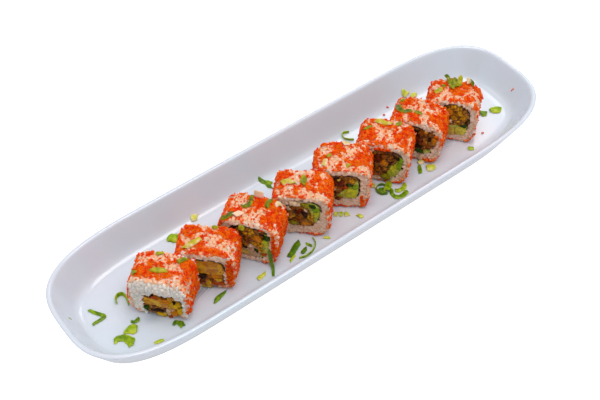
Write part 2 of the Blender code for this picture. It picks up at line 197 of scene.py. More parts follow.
def riceFinish():
    # cooked grains, pink where their "stain" says so and orange by the roe where their "juice" does
    look = riceLook
    made, tree, shader = newFinish("rice", {
        "Subsurface Weight": 0.45, "Subsurface Scale": 2.0 * mm, "Subsurface Radius": (1.0, 0.6, 0.45),
        "Specular IOR Level": 0.25})
    colour = look["white"]
    for name, stained in (("stain", look["pink"]), ("juice", look["juice"])):
        amount = addNode(tree, "ShaderNodeAttribute", attribute_name=name)
        colour = mixColours(tree, amount.outputs["Fac"], colour, stained)
    varied = useGroup(tree, "pieceByPiece", {"Colour": colour, "Spread": look["spread"]})
    patches = useGroup(tree, "mottle", {
        "Colour A": look["dim"], "Colour B": (1, 1, 1, 1), "Cells": cells(look["patch"]), "Softness": 0.2})
    colour = mixColours(tree, 1.0, varied.outputs["Colour"], patches.outputs["Colour"], "MULTIPLY")
    tree.links.new(colour, shader.inputs["Base Color"])
    addRoughness(tree, shader, patches.outputs["Mask"], 0.52, 0.36)
    addBump(tree, shader, broad=1.4, fine=0.5, share=0.3, depth=0.05)
    return made


roeLook = dict(deep=tint(244, 58, 0), bright=tint(255, 114, 0), spread=0.1, patch=4.0)


def roeFinish():
    # flying fish roe: glossy beads from deep red to orange
    look = roeLook
    made, tree, shader = newFinish("roe", {
        "Subsurface Weight": 0.5, "Subsurface Scale": 1.4 * mm, "Subsurface Radius": (1.0, 0.35, 0.08),
        "Specular IOR Level": 0.1})
    patches = useGroup(tree, "mottle", {
        "Colour A": look["deep"], "Colour B": look["bright"], "Cells": cells(look["patch"]),
        "Softness": 0.12})
    varied = useGroup(tree, "pieceByPiece", {"Colour": patches.outputs["Colour"], "Spread": look["spread"]})
    tree.links.new(varied.outputs["Colour"], shader.inputs["Base Color"])
    addRoughness(tree, shader, patches.outputs["Mask"], 0.2, 0.34)
    return made


moist = {"Specular IOR Level": 0.25, "Subsurface Weight": 0.1, "Subsurface Scale": 1.0 * mm}
# the two colours of each food's patches and the third of its specks, their sizes and the relief's depth
# in mm, and its roughness from patch to patch
foodLooks = {
    "nori": dict(first=tint(22, 26, 18), second=tint(40, 42, 26), third=tint(62, 58, 34), patch=2.4,
                 speck=0.7, relief=0.12, shaderValues={"Specular IOR Level": 0.3}, gloss=(0.35, 0.6)),
    "tempura": dict(first=tint(92, 44, 12), second=tint(176, 112, 26), third=tint(52, 24, 10), patch=3.0,
                    speck=1.3, relief=0.5, gloss=(0.3, 0.5)),
    "omelette": dict(first=tint(184, 116, 6), second=tint(222, 168, 18), third=tint(150, 76, 6), patch=6.0,
                     speck=1.4, relief=0.12, gloss=(0.28, 0.4)),
    "avocado": dict(first=tint(140, 150, 30), second=tint(196, 196, 76), third=tint(92, 122, 22), patch=5.0,
                    speck=1.6, relief=0.1, gloss=(0.26, 0.4)),
    "prawn": dict(first=tint(176, 136, 92), second=tint(206, 176, 142), third=tint(190, 100, 48), patch=3.6,
                  speck=1.5, relief=0.25, gloss=(0.26, 0.4)),
    "crab": dict(first=tint(170, 82, 24), second=tint(206, 122, 50), third=tint(226, 196, 160), patch=3.6,
                 speck=1.6, relief=0.3, gloss=(0.3, 0.5)),
}


def foodFinish(name, first, second, third, patch, speck, relief, gloss, shaderValues=moist):
    made, tree, shader = newFinish(name, shaderValues)
    patches = useGroup(tree, "mottle", {
        "Colour A": first, "Colour B": second, "Cells": cells(patch), "Softness": 0.12})
    specks = useGroup(tree, "mottle", {
        "Colour A": patches.outputs["Colour"], "Colour B": third, "Cells": cells(speck), "Middle": 0.62,
        "Softness": 0.05})
    tree.links.new(specks.outputs["Colour"], shader.inputs["Base Color"])
    addRoughness(tree, shader, patches.outputs["Mask"], *gloss)
    addBump(tree, shader, broad=patch / 2, fine=speck / 2, share=0.4, depth=relief)
    return made


# patches that darken and lighten each bit: in part the food's patchy colour, in part painted shade and
# painted highlight, placed at random
bitPatchesAndShading = dict(dark=(0.36, 0.3, 0.2, 1), light=(1.2, 1.14, 0.9, 1), patch=1.7)


def bitFinish():
    # what shows at the cut: each bit of filling has its own colour, darker and lighter in small patches that
    # are in part its own patchy colour and in part painted shade and painted highlight
    look = bitPatchesAndShading
    made, tree, shader = newFinish("fillingBitsAndPaintedShade", {
        "Subsurface Weight": 0.1, "Subsurface Scale": 0.8 * mm, "Subsurface Radius": (1.0, 0.6, 0.3),
        "Specular IOR Level": 0.1})
    own = addNode(tree, "ShaderNodeAttribute", attribute_name="tint")
    patches = useGroup(tree, "mottle", {
        "Colour A": look["dark"], "Colour B": look["light"], "Cells": cells(look["patch"]), "Softness": 0.12})
    speckleAndShading = addNode(tree, "ShaderNodeAttribute", attribute_name="speckleAndShading")
    colour = mixColours(tree, speckleAndShading.outputs["Fac"], own.outputs["Color"], patches.outputs["Colour"],
                        "MULTIPLY")
    tree.links.new(colour, shader.inputs["Base Color"])
    addRoughness(tree, shader, patches.outputs["Mask"], 0.5, 0.28)
    addBump(tree, shader, broad=1.2, fine=0.5, share=0.4, depth=0.25)
    return made


onionLook = dict(dark=tint(74, 114, 4), bright=tint(156, 182, 4), lime=tint(210, 208, 70),
                 pale=tint(240, 216, 184))
# the same on the rolls, stained by the roe under it
onionStained = dict(dark=tint(78, 98, 0), bright=tint(160, 156, 0), lime=tint(204, 180, 44),
                    pale=tint(244, 208, 186))
# the darker and lighter patches on both, and their size in mm
onionPatches = dict(dark=(0.82, 0.88, 0.74, 1), light=(1.08, 1.06, 1.0, 1), size=2.4)


def onionFinish(name, look):
    # spring onion, from the dark outside of the leaf to the pale inside, by its "pale" number
    made, tree, shader = newFinish(name, {
        "Subsurface Weight": 0.15, "Subsurface Scale": 0.8 * mm, "Subsurface Radius": (0.6, 1.0, 0.2),
        "Specular IOR Level": 0.25})
    pale = addNode(tree, "ShaderNodeAttribute", attribute_name="pale")
    ramp = addNode(tree, "ShaderNodeValToRGB", {"Fac": pale.outputs["Fac"]})
    ramp.color_ramp.elements[0].color = look["dark"]
    ramp.color_ramp.elements[1].color = look["pale"]
    for place, shade in ((0.4, "bright"), (0.72, "lime")):
        ramp.color_ramp.elements.new(place).color = look[shade]
    patches = useGroup(tree, "mottle", {
        "Colour A": onionPatches["dark"], "Colour B": onionPatches["light"],
        "Cells": cells(onionPatches["size"]), "Softness": 0.25})
    colour = mixColours(tree, 1.0, ramp.outputs["Color"], patches.outputs["Colour"], "MULTIPLY")
    tree.links.new(colour, shader.inputs["Base Color"])
    addRoughness(tree, shader, patches.outputs["Mask"], 0.42, 0.26)
    addBump(tree, shader, broad=1.0, fine=0.4, share=0.3, depth=0.06)
    return made


finishes = {
    "glaze": glazeFinish(),
    "rice": riceFinish(),
    "roe": roeFinish(),
    "bits": bitFinish(),
    "onion": onionFinish("onion", onionLook),
    "onionStained": onionFinish("onionStained", onionStained),
}
for name, look in foodLooks.items():
    finishes[name] = foodFinish(name, **look)
print("finishes made:", len(finishes))


# Making pieces

def addPiece(name, mesh, finish, slotName, nodes=()):
    piece = bpy.data.objects.new(name, mesh)
    bpy.context.scene.collection.objects.link(piece)
    mesh.materials.append(finishes[finish])
    mesh.shade_smooth()
    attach(piece, "root")
    if nodes:
        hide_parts(*nodes)
    return piece


def smoothOut(piece):
    smooth = piece.modifiers.new("smooth", "SUBSURF")
    smooth.levels = smooth.render_levels = 1


def giveWall(piece, thickness, offset):
    # a wall in mm, outside the surface at an offset of 1 and inside at -1
    wall = piece.modifiers.new("wall", "SOLIDIFY")
    wall.thickness = thickness * mm
    wall.offset = offset


def meshOf(bm, name, space):
    # the mesh of a bmesh in mm, put where space says and turned into metres
    bmesh.ops.transform(bm, matrix=Matrix.Scale(mm, 4) @ space, verts=bm.verts)
    mesh = bpy.data.meshes.new(name)
    bm.to_mesh(mesh)
    bm.free()
    return mesh


def ringOf(bm, points, closed=True):
    # a row of vertices joined by edges
    if closed:
        ring = bmesh.ops.create_circle(bm, segments=len(points))["verts"]
    else:
        ring = [bm.verts.new((0, 0, 0)) for _ in points]
        for a, b in zip(ring, ring[1:]):
            bm.edges.new((a, b))
    for vert, point in zip(ring, points):
        vert.co = point
    return ring


def ringEdges(bm, ring, closed=True):
    pairs = list(zip(ring, ring[1:])) + ([(ring[-1], ring[0])] if closed else [])
    return [bm.edges.get(pair) for pair in pairs]


def extrudeRing(bm, ring, points, closed=True):
    # draws a row of vertices out to new points, and gives the new row in the same order
    made = bmesh.ops.extrude_edge_only(bm, edges=ringEdges(bm, ring, closed))["geom"]
    fresh = {part for part in made if isinstance(part, bmesh.types.BMVert)}
    row = []
    for old, point in zip(ring, points):
        new = next(edge.other_vert(old) for edge in old.link_edges if edge.other_vert(old) in fresh)
        new.co = point
        row.append(new)
    return row


def setNumbers(mesh, name, values):
    layer = mesh.attributes.new(name, "FLOAT", "POINT")
    layer.data.foreach_set("value", np.asarray(values, np.float32))


def joinCopies(name, pattern, places, **numbers):
    # many copies of one small shape in a single mesh, each put by its own matrix, with its own numbers
    corners = np.array([tuple(vert.co) + (1.0,) for vert in pattern.verts])
    faces = np.array([[vert.index for vert in face.verts] for face in pattern.faces])
    matrices = np.array([list(map(list, place)) for place in places])
    points = np.einsum("nij,vj->nvi", matrices, corners)[:, :, :3]
    joined = faces[None] + (np.arange(len(places)) * len(corners))[:, None, None]
    mesh = bpy.data.meshes.new(name)
    mesh.from_pydata(points.reshape(-1, 3).tolist(), [], joined.reshape(-1, 3).tolist())
    for title, values in numbers.items():
        setNumbers(mesh, title, np.repeat(values, len(corners)))
    return mesh


def treeOf(meshes):
    points, faces = [], []
    for mesh in meshes:
        start = len(points)
        points += [vert.co.copy() for vert in mesh.vertices]
        faces += [[start + corner for corner in face.vertices] for face in mesh.polygons]
    return BVHTree.FromPolygons(points, faces)


def spreadPoints(low, high, spacing, draw, rowShare=0.866, stray=0.28):
    # points about evenly apart over a rectangle, in a triangular pattern and each moved a little
    points = []
    rowStep = spacing * rowShare
    for row in range(int((high[1] - low[1]) / rowStep) + 1):
        for column in range(int((high[0] - low[0]) / spacing) + 1):
            x = low[0] + (column + 0.5 * (row % 2) + draw.uniform(-stray, stray)) * spacing
            y = low[1] + (row + draw.uniform(-stray, stray)) * rowStep
            if x <= high[0] and y <= high[1]:
                points.append((x, y))
    return points


def placeOn(point, normal, turn, size):
    # a matrix that stands a shape on a surface, turned about the normal
    side = normal.orthogonal().normalized()
    side.rotate(Matrix.Rotation(turn, 3, normal))
    columns = Matrix((side * size[0], normal.cross(side) * size[1], normal * size[2])).transposed()
    return Matrix.Translation(point) @ columns.to_4x4()


# The plate

plateShape = dict(
    length=400.0, width=109.0, endLength=97.4, power=3.1, endSteps=44, sideSteps=10,
    # inset from the rim and height, from the middle of the foot round the rim to the floor
    profile=((40.0, 1.6), (18.6, 1.5), (17.4, 0.9), (16.8, 0.0), (13.0, 0.0), (12.2, 0.5), (11.2, 2.6),
             (6.0, 14.2), (1.2, 25.0), (0.2, 26.8), (0.0, 27.8), (0.6, 28.5), (1.8, 28.7), (2.9, 28.3),
             (3.7, 27.2), (4.6, 25.2), (9.4, 15.0), (12.4, 9.4), (14.6, 6.8), (17.2, 5.3), (19.6, 5.0),
             (24.0, 5.0), (40.0, 5.0)))


def plateRing(inset, z):
    shape = plateShape
    straight = shape["length"] / 2 - shape["endLength"]
    wide = shape["width"] / 2 - inset
    steps = shape["endSteps"]
    points = []
    for side in (1, -1):
        for i in range(steps + 1):
            turn = math.pi * (i / steps - 0.5)
            x = straight + (shape["endLength"] - inset) * max(math.cos(turn), 0.0) ** (2 / shape["power"])
            y = math.copysign(wide * abs(math.sin(turn)) ** (2 / shape["power"]), turn)
            points.append(Vector((side * x, side * y, z)))
        for i in range(1, shape["sideSteps"]):
            x = straight * (1 - 2 * i / shape["sideSteps"])
            points.append(Vector((side * x, side * wide, z)))
    return points


def makePlate():
    bm = bmesh.new()
    rings = [plateRing(*step) for step in plateShape["profile"]]
    first = ringOf(bm, rings[0])
    row = first
    for points in rings[1:]:
        row = extrudeRing(bm, row, points)
    bmesh.ops.contextual_create(bm, geom=first)
    bmesh.ops.contextual_create(bm, geom=row)
    bmesh.ops.recalc_face_normals(bm, faces=bm.faces)
    plate = addPiece("plateGlazed", meshOf(bm, "plateGlazed", Matrix()), "glaze", "glaze", ["plate"])
    smoothOut(plate)
    return plate


plate = makePlate()
plateTree = BVHTree.FromObject(plate, bpy.context.evaluated_depsgraph_get())
print("plate made")


# The eight rolls, from the left front to the right back. Along a roll's outline, places are mm round from
# the middle of its top, to the right. On its cut they are mm to the right and up from the middle of its foot.
#   place, turn: the middle of its foot on the plate in mm, and how far it is turned in degrees
#   size: width, height and thickness; openFoot: the filling reaches the plate
#   faceStain: how pink its cuts are
#   core: the filling's middle across and up, half its width and height, its outline's power and its tilt
#   nori: from and to which angle the seaweed shows; ragged, puff, bulge, overhang: how rough the front cut is
#   bare, heaped: spots without and with roe, as place round, mm forward and reach both ways
#   spill: roe on the front cut, as place across and up and reach both ways
#   bits: food at the cut and dark bits for painted shade in its gaps, as kind, place across and up, width,
#       height and tilt

rolls = {
    1: dict(
        place=(-129.1, -8.3), turn=-49.0, size=(40.4, 37.0, 25.0), openFoot=True, faceStain=0.1,
        core=(1.8, 11.5, 13.8, 13.0, 3.0, -5.0), nori=(-5, 150), ragged=1.6, puff=0.8, bulge=1.3, overhang=12,
        fillings=("omelette", "tempura", "prawn"),
        bare=((-50, 8, 14, 10), (60, 10, 14, 5), (-13.5, -4, 4, 4), (0.5, -9.5, 6, 4), (7.5, -1, 6, 4),
              (13.5, 7, 4, 5), (-2, 11.5, 20, 2.6), (22, 5, 4, 7)),
        heaped=((-10, 4, 7, 6), (-2, 5, 6, 4), (17, -7, 5, 7), (30, -3, 8, 8), (18, 2, 3, 4)),
        spill=(),
        # the rust and brown bits along the top of this filling are darker for the shade of the rice that
        # hangs over it: painted shade
        bits=(("rust", -5, 20.6, 11, 3.6, -4), ("brown", 3, 21.4, 6, 2.4, -6), ("amber", 4, 17, 11, 6, -8),
              ("yellow", 11, 15, 8, 6, -40), ("leaf", -9, 6.5, 4, 5, 0), ("darkGap", -2, 6.6, 9, 4, 0),
              ("yellow", 1, 1.8, 7, 3, -8), ("cream", 3.5, 3.4, 2.6, 2, 0), ("amber", 10, 6, 6, 7, -30),
              ("yellow", 14, 9, 3.6, 8, -8), ("rust", 7, 0.8, 3, 1.6, 0),
              ("darkGap", -5.0, 22.6, 4.2, 3.0, -10), ("leaf", -8.4, 21.2, 4.4, 2.2, -15),
              ("darkGap", 10.6, 18.0, 3.0, 3.4, 0), ("darkGap", 13.2, 14.0, 2.4, 4.0, 0))),
    2: dict(
        place=(-93.1, -7.5), turn=-43.0, size=(40.2, 37.0, 24.0), openFoot=True, faceStain=0.7,
        core=(0.0, 15.4, 13.0, 14.6, 3.8, -4.0), nori=(25, 150),
        fillings=("omelette", "tempura", "crab"),
        bare=((-62, 10, 14, 5), (62, 10, 14, 5), (-4, -10.5, 4, 3), (3, -1.5, 7, 3), (5, 4, 5, 4),
              (15, 4, 4, 5), (-14, 1, 4, 3), (28, 8, 3, 3), (-6, -4, 5, 2.4)),
        heaped=((-10, -7, 8, 4), (4, 9.5, 10, 3), (-22, 4, 6, 9), (15, -6, 6, 4), (26, -4, 6, 8),
                (-4, 5, 4, 3)),
        spill=((16.6, 18, 2.6, 15),),
        bits=(("darkGap", -3, 12.4, 8, 4, 5), ("amber", 6, 13, 10, 4, -10), ("yellow", 8, 10.4, 6, 2.6, -24),
              ("brown", -4, 6, 7, 4.5, 0), ("yellow", 1.4, 5.4, 3, 6.5, -22), ("rust", 7, 5.6, 10, 3.2, -5),
              ("cream", 0, 1.4, 7, 1.6, 0))),
    3: dict(
        place=(-55.7, -7.3), turn=-52.5, size=(40.8, 40.4, 24.6), openFoot=False, faceStain=0.78,
        core=(1.4, 20.0, 14.4, 16.4, 3.2, -4.0), nori=(25, 140),
        fillings=("avocado", "tempura", "prawn"),
        bare=((-11, -5.5, 8, 5), (4.5, 2.5, 5, 3.5), (-2, 9, 4, 3.5), (5, 10.8, 5, 2.2), (25, 9, 3, 3)),
        heaped=((4, -5, 5, 3), (14, 1, 8, 10), (30, -2, 10, 9), (-19, 10, 6, 4), (13, -9, 5, 4),
                (11, 6, 4, 4), (-9, 2, 3, 3)),
        spill=((6, 34.6, 6, 1.6), (18.2, 22, 1.6, 14)),
        bits=(("darkGap", -9.6, 32, 5, 7, -35), ("maroon", -8.4, 26, 6, 9, 5), ("gold", 1.5, 31, 8, 7, 0),
              ("amber", 6, 26, 8, 7, -10), ("brown", 0, 23, 6, 4, 20), ("gold", 7.5, 19.5, 7, 5, 10),
              ("leaf", 13, 28.5, 4, 5, 0), ("lime", 12, 22.5, 4.6, 6, 0), ("darkGap", 9.6, 31.6, 4, 2, -25),
              ("flesh", 3, 17.4, 5, 3, 12), ("leaf", 6, 13, 3, 5, 22), ("darkGap", -2, 15, 5, 2.4, 0),
              ("cream", -4, 9, 10, 5, -4), ("gold", 9.4, 14, 5, 4, 0), ("rust", 11, 10, 4, 3, 0),
              ("lime", -4, 34.6, 4.4, 6.4, -15))),
    4: dict(
        place=(-14.2, -9.2), turn=-43.5, size=(40.2, 40.0, 25.4), openFoot=False, faceStain=0.78,
        core=(1.2, 22.0, 12.6, 13.8, 2.9, -8.0), nori=(12, 150),
        fillings=("prawn", "avocado", "tempura"),
        bare=((-60, 10, 18, 5), (62, 10, 10, 5), (-3, -10.5, 9, 3), (-6, -2, 4, 6), (5, -5, 3, 3),
              (14, -8, 3.5, 3.5), (-9, 7, 3.5, 4.5), (1, 7, 3.5, 3), (12, 10.5, 10, 3)),
        heaped=((-15, -6, 5, 5), (9, -4, 4, 5), (20, -4, 5, 6), (-4.5, 7, 2.5, 4), (10, 5.5, 7, 2.6),
                (28, 0, 7, 8)),
        spill=((10, 1.2, 8, 1.2),),
        bits=(("flesh", -5, 32.6, 9, 4.4, -12), ("flesh", -8, 27, 3.4, 4, 0),
              ("brown", -4.6, 28.4, 5, 3, 10), ("olive", 3, 31.4, 7, 4, -24), ("leaf", 8, 30.6, 5, 3, -30),
              ("green", 10.4, 27, 4, 4.6, 0), ("lime", 10.8, 22.6, 4.4, 6, 0), ("maroon", -1, 25, 6, 5, 20),
              ("darkGap", 2.4, 22, 4, 8, 25), ("gold", -7, 20.4, 5, 6, 0), ("brown", -1, 16.6, 7, 6, 0),
              ("gold", 6, 18.6, 5, 7, 15), ("amber", 3, 12, 8, 4.4, 0), ("olive", -5, 12, 7, 5, 0),
              ("flesh", 3.4, 26.4, 2, 4, 30))),
    5: dict(
        place=(23.9, -6.5), turn=-42.0, size=(40.0, 39.4, 26.4), openFoot=False, faceStain=0.78,
        core=(0.4, 20.9, 12.4, 12.6, 4.4, 0.0), nori=(-20, 150),
        fillings=("avocado", "tempura"),
        bare=((-14, -6, 4.5, 5), (-7, 5, 4, 5), (2.5, 0, 7, 3.5), (5, -6, 5, 3), (1.5, 8, 3, 3),
              (16.5, 9.5, 5, 4), (24, 8, 5, 5), (37, 9, 9, 5)),
        heaped=((-21, -2, 4, 7), (-4, -6.5, 4, 4), (14, -1, 6, 8), (-13, 1, 3.5, 3.5), (7, 6, 4, 3),
                (28, -4, 6, 7)),
        spill=((-2, 1.0, 10, 1.2), (15, 8, 1.4, 6)),
        bits=(("darkGap", -5, 31, 6, 2.6, 0), ("cream", -2.4, 29, 3, 2, 0), ("maroon", -2.4, 25.6, 8, 7, 0),
              ("gold", 7.4, 28.4, 4.4, 2.6, -20), ("leaf", 6, 25, 5, 4.4, -10),
              ("green", 9.4, 22, 4, 4.4, 0), ("rust", -1, 21.4, 5, 3.4, 15), ("flesh", -5, 19.4, 3, 2, 0),
              ("lime", 6.6, 15.6, 9.4, 11, 0), ("darkGap", -5, 14.4, 5, 6, 0), ("brown", -2, 10, 6, 3.4, 0),
              ("maroon", -7, 20, 3, 6, 0), ("rust", 2.6, 21.6, 4, 4, 0))),
    6: dict(
        place=(63.5, -6.5), turn=-49.6, size=(38.6, 38.4, 26.0), openFoot=False, faceStain=0.78,
        core=(1.6, 18.4, 14.0, 14.8, 2.7, -6.0), nori=(20, 110),
        fillings=("avocado", "tempura"),
        bare=((-4, 4.5, 4, 5), (3.5, 4.5, 3.4, 6.5), (20, 9, 3, 4), (7, 11.5, 4, 2), (38, 7, 12, 7)),
        heaped=((-13, 4, 7, 8), (10, 1, 6, 6), (16, -7, 6, 5), (-2, 10.5, 4, 2.5), (27, -2, 6, 8),
                (-3, -8, 4, 3)),
        spill=((0, 33.4, 7, 3.4), (12, 1.0, 5, 1.2)),
        bits=(("maroon", -4, 24, 7, 9, 0), ("brown", 3, 27, 8, 6, -10), ("amber", 1.6, 20, 6, 8, 10),
              ("darkGap", -6.6, 16, 4, 9, 0), ("brown", -3, 12, 7, 5, 0), ("darkGap", 7, 22, 2, 9, -30),
              ("leaf", 4.6, 17.6, 2.6, 5, -22), ("lime", 8, 14.6, 5.6, 13, -24),
              ("green", 13, 21, 3.8, 13, -14), ("olive", 3, 5.6, 8, 5, -30), ("rust", -5, 7.6, 5, 4, 0),
              ("darkGap", 10.4, 27, 6, 2, -40))),
    7: dict(
        place=(97.1, -5.5), turn=-54.6, size=(39.6, 38.6, 24.4), openFoot=False, faceStain=0.78,
        core=(2.8, 20.4, 14.0, 12.8, 2.9, -13.0), nori=(75, 150),
        fillings=("avocado", "tempura"),
        bare=((-8, 8, 3, 3.5), (4.5, 5, 4.5, 5), (1, -9, 4, 2.4), (6, -3, 3, 2.4), (22, 10, 4, 4),
              (-5, 1, 4, 3), (12, 9.6, 5, 2.4), (38, 8, 10, 6)),
        heaped=((-10, -7, 4, 4), (19, 1, 7, 10), (10, 7, 3.4, 5), (-3, 7, 3.4, 4), (30, -4, 7, 6),
                (7, -8, 4, 2)),
        spill=((15, 27, 2.6, 2.4), (14, 2.4, 6, 1.6)),
        bits=(("darkGap", 0.6, 30, 5, 4, 0), ("brown", 7, 28.6, 9, 6, -10), ("darkGap", 11, 24.4, 3, 7, -20),
              ("amber", 14.4, 23, 4, 9, 8), ("maroon", 3.4, 21, 8, 8, 0), ("brown", 9, 18, 7, 7, 0),
              ("gold", 8, 30.4, 3.4, 2, -15), ("darkGap", 2, 15, 6, 4, 0), ("leaf", 4, 10.4, 7, 4, -12),
              ("flesh", 6, 4, 3.6, 7, -10), ("maroon", -5, 22, 6, 10, 0), ("brown", -5, 14, 6, 6, 0),
              ("brown", 12, 30, 6, 6, -10))),
    8: dict(
        place=(130.3, -6.8), turn=-49.6, size=(38.8, 40.2, 23.0), openFoot=False, faceStain=0.7,
        core=(2.8, 21.8, 11.4, 15.6, 2.7, 4.0), nori=(-12, 140),
        fillings=("avocado", "tempura"),
        bare=((-14, -4, 4, 3), (-5, 5, 4, 4), (14, -1.5, 5, 6), (4.5, 8.4, 3.4, 3.4), (24, 2, 6, 9),
              (-12, 8, 4, 3), (38, 6, 14, 9)),
        heaped=((2, 1.5, 6, 6), (-15, -9, 5, 2.4), (9.5, 8.6, 4, 3), (18, -8, 4, 3), (-13, 8, 4, 3),
                (8, -7, 4, 3)),
        spill=((3, 1.0, 5, 1.0),),
        bits=(("gold", 3, 34, 8, 5, -12), ("amber", -2, 29, 6, 7, 0), ("gold", 5.4, 28.6, 7, 5, -10),
              ("gold", 9.4, 25, 5, 7, 0), ("darkGap", 12, 22.6, 2.4, 6, 0), ("gold", 2.6, 24, 6, 4.4, 10),
              ("gold", 6, 20, 8, 4.4, 15), ("flesh", 0.4, 19.6, 3.4, 5, 0), ("pea", 8.4, 11.2, 9, 8, 0),
              ("cream", 1, 10, 7, 8, -8), ("leaf", 10, 17, 6, 3, -10), ("brown", -5, 22, 5, 9, 0))),
}
riceShape = dict(
    power=3.8, slump=-0.01, threefold=0.012, fivefold=0.010, footAngle=49.0, outlineSteps=120, depthSteps=14,
    swell=0.9, swellSize=6.0, edge=1.4, ragged=0.9, raggedSize=2.2, pastNori=0.8, overFilling=-0.3,
    bulge=0.8, bulgeFrom=0.95, coreDepth=0.7, coreSwell=0.5, coreSwellSize=2.2, coreShade=0.15,
    faceBack=0.5, faceShares=(0.0, 0.33, 0.66, 0.9), rounded=0.8)
grainShape = dict(
    length=5.2, width=3.0, thickness=2.5, lengths=(0.8, 1.1), widths=(0.85, 1.1), bend=0.5, tilt=0.25,
    spacing=2.8, faceSpacing=2.6, inset=0.8, faceInset=0.9, sunk=0.65, faceSunk=0.95, hangSunk=0.4,
    sunkStray=(-0.15, 0.2), faceSunkStray=(-0.2, 0.2), pinkShare=0.85, paleStain=0.6, faceStains=(0.7, 1.1),
    faceTilt=0.4, puffTilt=0.3, hangFrom=28, hangTo=140, hangReach=(0.2, 1.4), hangOut=(-0.2, 0.4),
    hangBulge=0.6, hangTurn=0.4, hangTilt=0.5, hangStain=0.1)
roeShape = dict(
    across=1.2, sizes=(0.85, 1.1), spacing=0.86, stray=0.05, bed=(0.2, 0.42), base=-0.03, bareWeight=-1.1,
    heapedWeight=1.0, reach=1.25, patchAmount=1.1, patchNoise=4.0, edgeAmount=1.2, edgeNoise=2.0,
    juice=0.85, juiceReach=0.35, juiceSpan=0.7, spillRagged=0.8, spillNoise=1.6, above=4, through=7,
    edge=0.2, lowest=0.7, spillLowest=0.5)
# its three kinds of waver also have a radius, a seed and a size each
noriShape = dict(thick=0.36, outset=0.15, proud=0.15, hidden=-0.9, steps=140, waver=0.5, uneven=0.7,
                 ragged=0.9, fade=8, waverPlace=(6, 0, 1.5), unevenPlace=(5, 9, 1.0), raggedPlace=(9, 4, 1.2))


def rollSpace(roll):
    x, y = roll["place"]
    return Matrix.Translation((x, y, floorHeight + gap)) @ Matrix.Rotation(math.radians(roll["turn"]), 4, "Z")


def powerReach(angle, halfWidth, halfHeight, power):
    across = abs(math.cos(angle)) / halfWidth
    tall = abs(math.sin(angle)) / halfHeight
    return (across**power + tall**power) ** (-1 / power)


def riceEdge(roll, angle):
    # a point (x, z) of the rice's outline, seen from the roll's middle
    width, height, _ = roll["size"]
    reach = powerReach(angle, width / 2, height / 2, riceShape["power"])
    reach *= (1 + riceShape["threefold"] * math.sin(3 * angle + roll["place"][0])
              + riceShape["fivefold"] * math.sin(5 * angle + roll["place"][1]))
    z = height / 2 + reach * math.sin(angle)
    x = reach * math.cos(angle) * (1 + riceShape["slump"] * (1 - 2 * z / height))
    return Vector((x, max(z, 0.0)))


def coreEdge(roll, angle, outset=0.0):
    # a point (x, z) of the nori's outline, seen from the core's middle
    x, z, halfWidth, halfHeight, power, tilt = roll["core"]
    reach = powerReach(angle - math.radians(tilt), halfWidth + outset, halfHeight + outset, power)
    return Vector((x + reach * math.cos(angle), max(z + reach * math.sin(angle), 0.0)))


def noriShown(roll, toward):
    # 1 where the nori shows at the cut and 0 where rice or filling lies over it
    start, end = roll["nori"]
    middle = (start + end) / 2
    away = abs((math.degrees(toward) - middle + 180) % 360 - 180)
    return min(1.0, max(0.0, ((end - start) / 2 - away) / noriShape["fade"] + 0.5))


def inCore(roll, x, z):
    # whether rice at this place on the cut would lie over the filling
    middleX, middleZ, *_ = roll["core"]
    toward = math.atan2(z - middleZ, x - middleX)
    ragged = roll.get("ragged", riceShape["ragged"]) * lumps((x, 0, z), riceShape["raggedSize"], roll["turn"])
    outset = riceShape["pastNori"] if noriShown(roll, toward) > 0.5 else riceShape["overFilling"]
    edge = coreEdge(roll, toward, outset + ragged)
    return math.hypot(x - middleX, z - middleZ) < (edge - Vector((middleX, middleZ))).length


def faceBulge(roll, x, z):
    # how far the rice over the filling swells out of the front cut, and how steeply with height
    width, height, _ = roll["size"]
    low = roll["core"][1] + riceShape["bulgeFrom"] * roll["core"][3]
    turn = math.pi * min(1.0, max(0.0, (z - low) / (height - low)))
    most = roll.get("bulge", riceShape["bulge"]) * max(0.0, 1 - abs(2 * x / width) ** 4)
    slope = most * math.pi / (height - low) * math.cos(turn) if z > low else 0.0
    return most * math.sin(turn), slope


def measureOutline(roll):
    # the outline as lists: distance round from the top, place and outward direction
    steps = 720
    points = [riceEdge(roll, math.pi / 2 - math.tau * i / steps) for i in range(steps + 1)]
    distances = np.concatenate([[0], np.cumsum([(b - a).length for a, b in zip(points, points[1:])])])
    normals = []
    for i in range(steps + 1):
        along = points[(i + 2) % steps] - points[(i - 2) % steps]
        normals.append(Vector((-along.y, along.x)).normalized())
    return dict(distance=distances, x=[p.x for p in points], z=[p.y for p in points],
                normalX=[n.x for n in normals], normalZ=[n.y for n in normals], total=distances[-1])


def skinAt(roll, t, y, inset=0.0):
    # a point on the rice's skin and the way out of it, rounded where the knife went through
    outline = roll["outline"]
    t = t % outline["total"]
    x, z, normalX, normalZ = (float(np.interp(t, outline["distance"], outline[key]))
                              for key in ("x", "z", "normalX", "normalZ"))
    inset -= riceShape["swell"] * lumps((x, y, z), riceShape["swellSize"], roll["place"][0])
    half = roll["size"][2] / 2
    into = max(0.0, riceShape["edge"] - (half - abs(y)))
    drop = riceShape["edge"] - math.sqrt(max(riceShape["edge"] ** 2 - into**2, 0.0))
    lean = into / riceShape["edge"]
    normal = Vector((normalX, math.copysign(lean, y), normalZ)).normalized()
    return Vector((x - normalX * (drop + inset), y, max(z - normalZ * (drop + inset), 0.0))), normal


def ringAngles(roll, steps):
    # angles round a roll's outline, from its foot round to its foot
    if not roll["openFoot"]:
        return [-math.pi / 2 + math.tau * i / steps for i in range(steps)]
    skip = math.radians(riceShape["footAngle"])
    return [-math.pi / 2 + skip + (math.tau - 2 * skip) * i / (steps - 1) for i in range(steps)]


